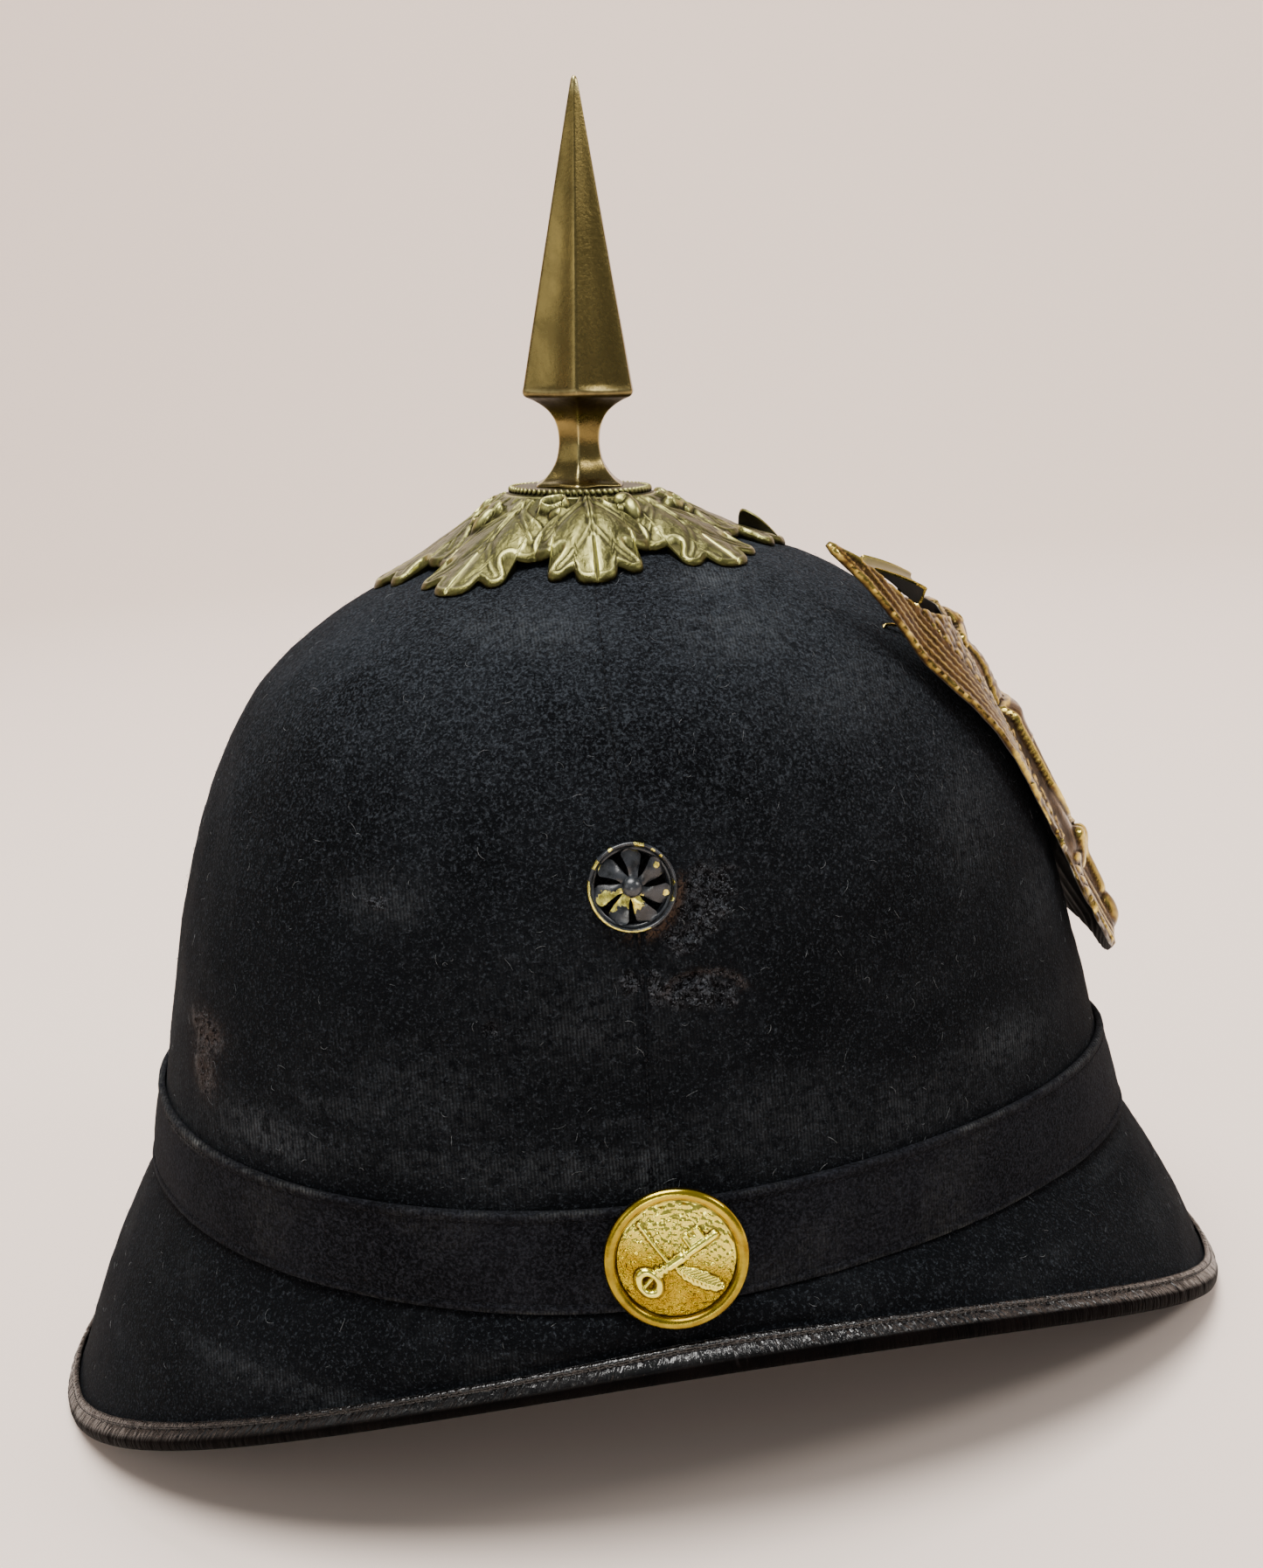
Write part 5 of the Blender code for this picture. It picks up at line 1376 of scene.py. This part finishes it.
# side vents: a rolled rim, seven twisted blades and a small dome
vent = {"blades": 7, "swirl": 0.2, "pitch": 0.55, "reach": 6.45, "halfWide": 0.315, "sheet": 0.4,
        # radius and level of the middle of each hoop's section, then its half width and half height
        "rim": (8.85, 1.25, 0.44, 0.8), "ring": (8.1, 0.4, 0.4, 0.2)}
# chipped spots on the wearer's right vent: sideways, up, how far it spreads, how strong
ventChips = ((-5.0, -2.6, 2.5, 1.0), (-2.6, -2.0, 1.9, 1.0), (0.4, -2.6, 2.2, 1.0), (-0.3, -5.0, 1.0, 0.9),
             (5.2, 4.2, 0.75, 1.0), (7.0, -1.4, 0.7, 1.0),
             (8.2, 0.6, 0.7, 1.0), (7.9, -2.6, 0.6, 1.0), (1.7, 8.5, 1.2, 1.0), (-4.2, 7.9, 0.5, 0.95),
             (-7.4, 4.9, 1.2, 1.0), (4.6, 7.4, 0.4, 0.9),
             (6.1, 6.0, 0.4, 0.9))


def hoopGrid(spec, angle, columns):  # an oval section turned round +Z
    radius, level, halfWidth, halfHeight = spec
    return latheGrid(np.stack([radius + halfWidth * np.cos(angle), level + halfHeight * np.sin(angle)], -1),
                     columns)


def makeVent(name, replaced, mirror):
    # hoops for rim and ring; each blade is a fan of arcs that swirls outward and tilts across; a turned dome
    place = placeOn(airHole["at"], airHole["faces"], mirror=mirror)
    body = Stack()

    def chipped(points, outside=0.0):  # 1 where the paint is chipped, by the spots and noise
        spots = np.array(ventChips)
        near = np.hypot(points[..., 0, None] - spots[:, 0], points[..., 1, None] - spots[:, 1])
        return np.clip((np.exp(-(near / spots[:, 2]) ** 4) * spots[:, 3]).max(-1) + outside, 0, 1)

    # rolled rim; brass shows bare round its lower outside
    columns = 96
    grid = hoopGrid(vent["rim"], np.linspace(-0.55 * math.pi, 1.45 * math.pi, 20, endpoint=False)[::-1], columns)
    lowSide = rise(-(grid[..., 0] * 0.62 + grid[..., 1] * 0.78), 3.0, 5.0)
    bare = rise(np.hypot(grid[..., 0], grid[..., 1]), 8.6, 8.95) * lowSide
    body.add(grid, hoopQuads(20, columns), chip=chipped(grid, bare * 0.9).ravel())
    # a flat dark ring inside it that the blades hang from
    body.add(hoopGrid(vent["ring"], fullTurn(8)[::-1], columns), hoopQuads(8, columns), chip=0.0)
    across, out = np.linspace(-1, 1, 13), np.linspace(0, 1, 22)
    radius = 1.5 + vent["reach"] * out
    tipRound = np.sqrt(np.clip(1 - np.clip((out - 0.8) / 0.21, 0, 1) ** 2, 0.02, 1))
    halfAngle = vent["halfWide"] * tipRound + 0.16 * (1 - rise(out, 0, 0.3))
    for number in range(vent["blades"]):
        centre = 2 * math.pi * (number + 0.55) / vent["blades"] + vent["swirl"] * out
        turn = centre[:, None] + across[None] * halfAngle[:, None]
        tilt = vent["pitch"] * across[None] * rise(out, 0.1, 0.5)[:, None]
        lift = 1.0 + tilt + 0.18 * (1 - across[None] ** 2) - 0.3 * rise(out, 0.5, 1.0)[:, None]
        top = np.stack([radius[:, None] * np.cos(turn), radius[:, None] * np.sin(turn), lift], -1)
        grid = np.concatenate([top, (top - [0, 0, vent["sheet"]])[:, ::-1]], 1)
        body.add(grid, sheetQuads(*grid.shape[:2]), chip=chipped(grid).ravel())
    dome = ((0.02, 3.1), (0.7, 3.0), (1.4, 2.65), (1.95, 2.1), (2.2, 1.5), (2.25, 0.95), (2.2, 0.45), (0.02, 0.4))
    body.add(latheGrid(curveThrough(dome, 18), 28), sheetQuads(18, 28), chip=0.0)
    newPiece(body.mesh(name, place), paintedBrass, replaced, sharp=50)


makeVent("vent_rosette_right", "vent_right", False)
makeVent("vent_rosette_left", "vent_left", True)
print("vents made")


# side buttons: rolled rim, stippled field, a key crossed with a quill
button = {"at": (-3.8, -99.9, -150.0), "faces": (-0.05, -0.991, 0.122), "columns": 240, "rows": 92,
          "field": 12.5, "rimAt": (13.8, 1.85), "rimRound": (1.28, 1.22), "dome": 1.05, "stipple": 0.34}


def turnPlan(x, y, degrees):  # coordinates along and across a line at that angle
    turn = math.radians(degrees)
    return x * math.cos(turn) + y * math.sin(turn), y * math.cos(turn) - x * math.sin(turn)


def rodHeight(x, y, start, end, halfWidth, height):  # a round rod laid from start to end
    return height * roundOff(toSegments(x, y, [start], [end])[..., 0] / halfWidth)


quillLine = ((-7.8, 7.9), (-4.8, 3.6), (-1.8, -0.3), (2.2, -3.1), (6.3, -5.2), (9.7, -6.5))


def buttonRelief(x, y):
    # key: shaft with collars, two-lobed bow, notched bit; quill: a bent thin line that widens to a barbed vane
    along, across = turnPlan(x, y, 33.0)
    key = np.maximum(rodHeight(along, across, (-5.0, 0), (9.5, 0), 0.85, 1.15),
                     rodHeight(along, across, (-1.9, 0), (1.2, 0), 1.15, 1.4))
    for place, wide in ((-4.4, 1.4), (2.2, 1.2), (-3.1, 1.1)):
        key = np.maximum(key, rodHeight(along, across, (place, -wide * 0.5), (place, wide * 0.5), 0.6, 1.2))
    bowRound = np.hypot((along + 7.4) / 2.3, (across + 0.8) / 3.1)
    key = np.maximum(key, 1.35 * roundOff((bowRound - 0.84) / 0.34))
    key = np.maximum(key, rodHeight(along, across, (-8.7, -1.0), (-6.6, -0.4), 0.4, 0.8))
    inBit = np.minimum(np.minimum(along - 3.4, 7.7 - along), np.minimum(across - 0.3, 3.9 - across))
    notch = np.minimum(np.minimum(along - 5.0, 6.0 - along), across - 2.5)
    key = np.maximum(key, 0.7 * rise(np.minimum(inBit, -notch), -0.05, 0.35) + 0.2 * hill(inBit, 0.4, 0.3)
                     * (inBit > 0))
    shaft = toSegments(x, y, quillLine[:3], quillLine[1:4]).min(-1)
    quill = 0.75 * roundOff(shaft / 0.42) * (x < 2.4)
    spine = toSegments(x, y, quillLine[2:-1], quillLine[3:]).min(-1)
    along, across = turnPlan(x - 0.4, y + 1.9, -26.5)
    width = 1.9 * roundOff((along - 5.0) / 5.6)
    inVane = width - np.abs(across - 0.1 * np.sin(along * 2.6))
    barbs = 0.5 + 0.5 * np.sin((along - np.abs(across) * 1.1) * 6.5)
    vane = rise(inVane, 0, 0.3) * (0.4 + 0.26 * barbs + 0.4 * hill(spine, 0, 0.3))
    return np.maximum(key, np.maximum(quill, vane))


def makeButton(name, replaced, mirror):
    # a disc of rings: height from the relief inside, groove, rolled rim by a quarter ring, then the plain back
    place = placeOn(button["at"], button["faces"], mirror=mirror)
    columns, turn = button["columns"], fullTurn(button["columns"])
    radius = np.linspace(0.12, button["field"] + 0.05, button["rows"])
    x, y = radius[:, None] * np.cos(turn), radius[:, None] * np.sin(turn)
    sketch = buttonRelief(x, y)
    grain = button["stipple"] * layeredNoise(flatPoints(x, y), 0.85, 101, 2) * (1 - rise(sketch, 0.0, 0.12))
    grain = grain * rise(12.4 - radius, 0, 0.8)[:, None]
    dome = 1.75 + button["dome"] * (1 - (radius[:, None] / button["field"]) ** 2)
    field = np.stack([x, y, dome + sketch * 0.85 + grain], -1)
    ringTurn = np.linspace(math.pi * 0.93, -0.42 * math.pi, 18)
    (rimRadius, rimLevel), (rimWide, rimTall) = button["rimAt"], button["rimRound"]
    rimRows = np.stack([rimRadius + rimWide * np.cos(ringTurn), rimLevel + rimTall * np.sin(ringTurn)], -1)
    extra = np.concatenate([[(12.6, 1.62)], rimRows, [(13.2, 0.55), (6.0, 0.5), (0.12, 0.5)]])
    rows = np.concatenate([field, latheGrid(extra, columns)])
    tips = np.array([[0, 0, rows[0, :, 2].mean()], [0, 0, 0.5]])
    high, low = reliefMarks(np.concatenate([sketch, np.zeros((len(extra), columns))]), 10, 0.25)
    last = len(field)
    sketched = np.maximum(high[:last], rise(sketch, 0.02, 0.3))
    # painted highlight: the upper part of the field is brighter, as if lit from above
    high[:last] = np.maximum(sketched, 0.72 * rise(y + 0.3 * x, -2.0, 5.0))
    low[:last] = np.clip(1.8 * low[:last], 0, 1)
    high[last + 2:] = 0.05
    high[last + 5:last + 9] = np.array([0.1, 0.2, 0.15, 0.05])[:, None]
    plain = np.zeros_like(high)
    plain[last - 2:] = 1
    low[last - 3:last + 2] = 0.9
    low[last + 13:] = 0.5
    # painted shade: the rim is darker at its sides and bottom and light at the top
    low[last + 2:last + 13] = 0.55 * (1 - rise(np.sin(turn + 0.2), 0.1, 0.95))  # darker but at the top
    marks = {"high": (high, [0, 0]), "low": (low, [0, 0]), "plain": (plain, [0, 0])}
    newPiece(turnedMesh(name, rows, tips, marks, place), giltBrass, replaced)


makeButton("key_button_right", "button_right", False)
makeButton("key_button_left", "button_left", True)
print("buttons made")


# the front plate: a bird with spread wings, a plain striped shield, branch and arrows
plate = {
    "foot": (123.6, 0.0, -123.0), "up": (-0.47, 0.0, 0.883), "shieldBend": 110.0, "wingBend": 62.0,
    "pressed": 12.5, "tipBack": 4.0, "sheet": 0.9, "step": 0.58, "flute": 2.5, "fluteRise": 0.62, "edgeRise": 0.3,
}
# half of the outline, across and up from the lower tip
plateHalf = (
    (0.0, 0.0), (3.8, 0.9), (6.5, 2.4), (9.5, 3.9), (13.0, 6.8), (17.0, 9.4), (20.5, 13.0), (23.0, 17.0),
             (27.0, 20.5), (27.5, 25.5), (30.0, 30.0),
    (29.0, 34.5), (25.0, 36.5), (24.5, 39.5), (27.5, 43.0), (27.0, 46.5), (29.0, 51.0), (30.2, 54.5),
             (32.6, 59.5), (33.2, 63.0),
    (35.4, 67.5), (36.2, 71.0), (38.4, 76.0), (39.2, 80.0), (41.2, 85.0), (42.2, 89.5), (43.8, 94.0),
             (44.7, 99.0), (46.0, 104.0),
    (46.9, 109.5), (48.0, 115.0), (49.0, 121.0), (49.9, 128.0), (50.9, 134.0), (51.4, 137.8), (50.8, 140.0),
             (49.3, 140.2), (48.2, 138.6),
    (44.8, 131.0), (40.2, 122.0), (34.0, 114.0), (26.0, 108.6), (19.0, 105.6), (13.0, 104.0), (8.0, 105.0),
             (4.0, 107.0), (0.0, 107.5))


shieldLine = ((-13.5, 77.5), (0, 75.8), (13.5, 77.5), (14.2, 66), (12.6, 52), (7.5, 41), (0, 34.5), (-7.5, 41),
              (-12.6, 52), (-14.2, 70))


def plateSwell(u, v):  # broad relief: breast, shield, head, wings and lower part, each a smooth hill
    neck = 3.5 * np.exp(-(u / 11.0) ** 4 - ((v - 83.0) / 9.5) ** 4)
    shield = 4.7 * np.exp(-(u / 15.0) ** 6) * rise(v, 26, 38) * (1 - rise(v, 72, 78))
    head = 1.8 * np.exp(-(u / 7.0) ** 2 - ((v - 97.0) / 6.0) ** 2)
    wing = 1.2 * np.clip((np.abs(u) - 14.0) / 20.0, 0, 1) * np.exp(-((v - 96.0) / 34.0) ** 2)
    lower = 4.4 * np.exp(-(u / 8.0) ** 2) * rise(v, 0, 8) * (1 - rise(v, 30, 40))
    inner = -1.3 * rise(v, 104, 114) * rise(46.0 - np.abs(u), -2, 8)
    return neck + shield + head + wing + lower + inner


def onPlate(u, v, height):
    # a sheet bent round the crown: out by (bend + height) cos(u/bend), across by its sine, the left wing pressed in
    up = np.array(plate["up"]) / np.linalg.norm(plate["up"])
    out = np.array([up[2], 0.0, -up[0]])
    bend = plate["shieldBend"] + (plate["wingBend"] - plate["shieldBend"]) * rise(v, 66, 108)
    left = np.clip(u / 50.0, 0, 1) ** 2 * np.clip((v - 92.0) / 44.0, 0, 1) * plate["pressed"]
    ribbon = np.clip(1 - (np.abs(u) / 14.0) ** 4, 0, 1) * np.clip(v - 106.0, 0, None) * 0.6
    tip = np.clip((v - 112.0) / 28.0, 0, 1) ** 2 * np.clip(np.abs(u) / 50.0, 0, 1) * plate["tipBack"]
    away = (bend + height) * np.cos(u / bend) - bend - left - tip - ribbon
    across = (bend + height) * np.sin(u / bend)
    centre = np.array(plate["foot"]) + v[..., None] * up
    return centre + away[..., None] * out + across[..., None] * np.array([0.0, 1.0, 0.0])


def plateRelief(u, v, edge):
    # low relief over the broad one: edge bead, long flutes and scales on the wings, barred shield, neck scales,
    # head with a beak, leaves on one side and arrows on the other, tail feathers
    wide = np.abs(u)
    outer = np.interp(v, (30, 44, 59, 75, 91, 107, 124, 138), (27, 29, 33.5, 38.5, 43, 47, 50, 51.5))
    place = (outer - wide) / plate["flute"]
    part = place - np.floor(place)
    inWing = rise(v, 40, 44) * rise(wide, 14.5, 17)
    long = inWing * (place < 5.0) * (place > -0.5)
    flutes = plate["fluteRise"] * part ** 1.6 * (1 - rise(part, 0.86, 1.0)) + 0.1 * hill(part, 0.4, 0.1)
    barbs = 0.03 * np.sin((v * 1.0 + np.abs(part - 0.5) * 7.0) * 3.4)
    row = np.floor(v / 4.2)
    col = (wide + (row % 2) * 2.2) / 4.4
    scale = np.hypot((col - np.floor(col) - 0.5) * 4.4 / 2.6, ((v / 4.2) - row - 0.85) * 4.2 / 4.6)
    covert = 0.75 * np.clip(1 - scale ** 2, 0, 1) + 0.2 * layeredNoise(flatPoints(u, v), 1.6, 111)
    height = np.where(long > 0, flutes + barbs, 0) + np.where((place >= 5.0) & (wide > 13), covert * inWing, 0)
    shield = insideOf(u, v, shieldLine)
    bars = 0.3 * np.cos(u * 2 * math.pi / 4.6) * rise(65 - v, 0, 0.8)
    chief = 0.3 * rise(v, 65.6, 66.4) + 0.5 * hill(v, 65.5, 0.5)
    onShield = rise(shield, 0, 0.7) + 0.5 * hill(shield, 0.9, 0.5)
    onShield = onShield + np.where(shield > 1.4, bars + chief, 0) * rise(shield, 1.4, 2.2)
    height = np.where(shield > -0.2, onShield, height)
    neckRow = np.floor(v / 2.4)
    neckCol = (u + (neckRow % 2) * 1.3) / 2.6
    scaleAcross, scaleAlong = (neckCol - np.floor(neckCol) - 0.5) * 2, (v / 2.4 - neckRow - 0.8) * 1.6
    neck = np.clip(1 - np.hypot(scaleAcross, scaleAlong) ** 2, 0, 1)
    onNeck = (v > 75) & (v < 96) & (wide < 12.5 - (v - 76) * 0.3) & (shield < -0.2)
    height = np.where(onNeck, 0.7 + 0.22 * neck, height)
    head = 2.3 * roundOff(np.hypot(u + 1.0, (v - 98.0) * 0.9) / 5.0)
    beak = rodHeight(u, v, (-4.5, 97.6), (-9.4, 96.2), 1.7, 1.9)
    hook = rodHeight(u, v, (-9.4, 96.2), (-10.0, 94.2), 0.9, 1.3)
    eye = -0.7 * hill(np.hypot(u + 2.2, v - 99.2), 0, 0.7) + 0.4 * hill(np.hypot(u + 2.2, v - 99.2), 1.2, 0.4)
    height = np.maximum(height, np.maximum(head + eye * (head > 0), np.maximum(beak, hook)))
    lower = v < 40
    stem = rodHeight(u, v, (-3.0, 33.0), (-27.0, 27.0), 0.8, 1.0)
    for k in range(5):
        a, b = -8.0 - 4.2 * k, 31.2 - 1.1 * k
        for side in (1, -1):
            leaf = np.hypot(((u - a + 2.0) * 0.8 - (v - b) * 0.55 * side) / 3.6,
                            ((v - b) * 0.8 * side + (u - a + 2.0) * 0.55 - 2.0) / 1.6)
            stem = np.maximum(stem, 1.1 * roundOff(leaf) * lower)
    for k in range(3):
        stem = np.maximum(stem, rodHeight(u, v, (3.0, 33.5 - k * 1.8), (27.0 - k, 30.5 - k * 4.6), 0.8, 1.05))
        stem = np.maximum(stem, rodHeight(u, v, (24.0 - k, 31.0 - k * 4.6), (28.0 - k, 30.3 - k * 4.8),
                                          1.7 - 0.2 * k, 1.25))
    claw = np.maximum(rodHeight(u, v, (-9, 36), (-9, 29), 2.3, 2.2), rodHeight(u, v, (9, 36), (9, 29), 2.3, 2.2))
    feather = 2 * ((u * 14 / (8 + v * 0.28) + 1.75) / 3.5 % 1) - 1
    tail = np.where((v < 27) & (wide < 15 - np.abs(v - 14) * 0.35), 0.75 * (1 - feather ** 2) ** 0.8, 0)
    rod = np.maximum(rodHeight(u, v, (-1.0, 33.0), (-1.0, 17.0), 2.8, 2.6),
                     2.8 * roundOff(np.hypot((u + 1.0) / 4.2, (v - 10.5) / 6.0)))
    height = np.where(lower & (shield < -0.2), np.maximum(np.maximum(stem, claw), np.maximum(rod, tail)), height)
    uneven = 0.75 + 0.5 * softNoise(flatPoints(u, v), 1.5, 119)
    bead = plate["edgeRise"] * hill(edge, 0.7, 0.5) * (v > 42) * uneven
    return height + bead + 0.06 * layeredNoise(flatPoints(u, v), 2.6, 121)


def splitSides(outline, step):  # more points along each side, about a step apart
    count = [max(2, int(side / step)) for side in np.hypot(*(np.roll(outline, -1, 0) - outline).T)]
    return np.concatenate([a + (b - a) * np.linspace(0, 1, n, endpoint=False)[:, None]
                           for a, b, n in zip(outline, np.roll(outline, -1, 0), count)])


def makePlate():
    # a triangle net over the outline, set on the bent sheet: broad swell plus low relief in front, less behind
    half = np.array(plateHalf)
    full = np.concatenate([half, half[-2:0:-1] * [-1, 1]])
    fine = splitSides(full, 0.9)
    u, v = np.meshgrid(np.arange(-52, 52.1, plate["step"]), np.arange(0.5, 142, plate["step"]))
    u = u + (np.arange(len(v)) % 2)[:, None] * plate["step"] / 2
    inside = insideOf(u, v, full) > 0.45
    points = [Vector(p) for p in fine] + [Vector(p) for p in np.stack([u[inside], v[inside]], -1)]
    flat, _, triangles, *_ = delaunay_2d_cdt(points, [], [list(range(len(fine)))], 1, 1e-4)
    flat = np.array(flat)
    triangles = np.array(triangles, int)
    u, v = flat[:, 0], flat[:, 1]
    edge = insideOf(u, v, full)
    low = plateRelief(u, v, edge)
    swell = plateSwell(u, v)
    top = onPlate(u, v, swell + low * rise(edge, -0.2, 0.5) + plate["sheet"] * (0.45 + 0.55 * rise(edge, 0, 0.6)))
    back = onPlate(u, v, swell + low * 0.35)
    size = len(flat)
    pairs = np.concatenate([triangles[:, [0, 1]], triangles[:, [1, 2]], triangles[:, [2, 0]]])
    known = set(map(tuple, pairs.tolist()))
    open1 = np.array([(a, b) for a, b in known if (b, a) not in known])
    sides = np.stack([open1[:, 1], open1[:, 0], open1[:, 0] + size, open1[:, 1] + size], -1)
    blurred, total = low, np.bincount(pairs[:, 0], minlength=size)
    for _ in range(4):  # blur along the triangles' sides
        neighbour = np.bincount(pairs[:, 0], blurred[pairs[:, 1]], size)
        blurred = (blurred + neighbour) / (total + 1)
    over = low - blurred
    # painted shade lies thickest on the ground beside the shield and on the lower fan away from its rod
    wide = np.abs(u)
    fanShade = rise(-v, -40, -24) * rise(wide, 4, 7)
    wingShade = rise(-v, -108, -96) * rise(v, 34, 40) * rise(wide, 11.5, 14) * rise(-wide, -36, -26)
    shade = 0.8 * (over < 0.06) * (fanShade + wingShade)
    polished = 0.7 * hill(edge, 0.5, 0.6) * rise(layeredNoise(flatPoints(u, v), 4.0, 131), -0.3, 0.4)
    none, ones = np.zeros(size), np.ones(size)
    # the back face is near black: painted shade behind the sheet
    marks = {"high": np.concatenate([np.clip(rise(over, 0.04, 0.3) + polished, 0, 1), none]),
             "low": np.concatenate([np.clip(rise(-over, 0.02, 0.3) + shade, 0, 1), ones * 0.85]),
             "back": np.concatenate([none, ones])}
    faces = np.concatenate([triangles, triangles[:, ::-1] + size])
    newPiece(newMesh("winged_plate", np.concatenate([top, back]), sides, faces, marks), plateBrass,
             "front_plate", sharp=55)


def makeScroll():
    # plain ribbon over the bird's head: flat across, its ends curled out and its lower edge folded back to the
    # plate
    t, way = np.linspace(-1, 1, 41), np.linspace(0, 1, 22)
    u = t[:, None] * 10.4 + 0 * way
    fold, flat = rise(way, 0.78, 1.0), np.clip(way / 0.8, 0, 1)
    v = 122.6 - 10.8 * flat - 2.8 * fold + 0.7 * np.cos(t * 4.0)[:, None] * (1 - way)
    ends = 0.9 * t[:, None] ** 4 + 1.2 * t[:, None]
    height = -3.0 + 4.4 * flat + 0.6 * np.sin(math.pi * flat) - 4.0 * fold + ends
    front, back = onPlate(u, v, height + 1.2), onPlate(u, v, height + 0.3)
    grid = np.concatenate([front, back[:, ::-1]], 1)
    quads = turnedOut(grid.reshape(-1, 3), sheetQuads(*grid.shape[:2]))
    border = np.maximum(rise(np.abs(t), 0.93, 1.0)[:, None], 1 - rise(way, 0.0, 0.08)[None])
    high = np.concatenate([0.35 + 0.5 * border, 0.8 * border], 1)
    low = np.concatenate([0.2 * fold + 0 * border, 1 - border], 1)
    # painted shade: "back" darkens the front face and leaves the underside near black but for its borders
    marks = {"high": high, "low": low, "back": np.concatenate([0.68 * (1 - border), 1 - rise(border, 0.3, 0.9)], 1)}
    newPiece(newMesh("plate_scroll", grid, quads, marks=marks), plateBrass, sharp=55)
    # its two side edges are bent back towards the plate, deeper lower down, near black as painted shade
    edges = Stack()
    deep = 0.3 + 4.3 * np.minimum(way / 0.72, 1) * (1 - 0.45 * fold)
    for row, end in ((0, -1), (-1, 1)):
        top = height[row] + 0.9
        corners = ((10.3, top), (10.1, top - deep), (9.6, top - deep), (9.8, top))
        points = np.stack([onPlate(end * wide + 0 * way, v[row], level) for wide, level in corners],
                          1).reshape(-1, 3)
        edges.add(points, turnedOut(points, sheetQuads(len(way), 4)), back=0.95)
    newPiece(edges.mesh("plate_scroll_sides"), plateBrass, sharp=40)


def makeLoops():  # the wire loops that hold the plate, standing out of the felt behind the wings
    wire = curveThrough(((53.6, -33.0, -31.6), (54.3, -32.4, -30.5), (55.8, -31.6, -30.4), (58.2, -30.2, -31.0),
                         (61.0, -28.6, -32.2)), 26)
    both = np.stack([wire, wire * [1, -1, 1]])
    out = np.broadcast_to(unit(np.array([[0.54, -0.39, 0.745], [0.54, 0.39, 0.745]]))[:, None], both.shape)
    points, quads = tubes(both, out, np.full(both.shape[:2], 0.5))
    newPiece(newMesh("plate_loops", points, quads, marks={"high": np.full(len(points), 0.5)}), plateBrass)


makePlate()
makeScroll()
makeLoops()
print("front plate made")
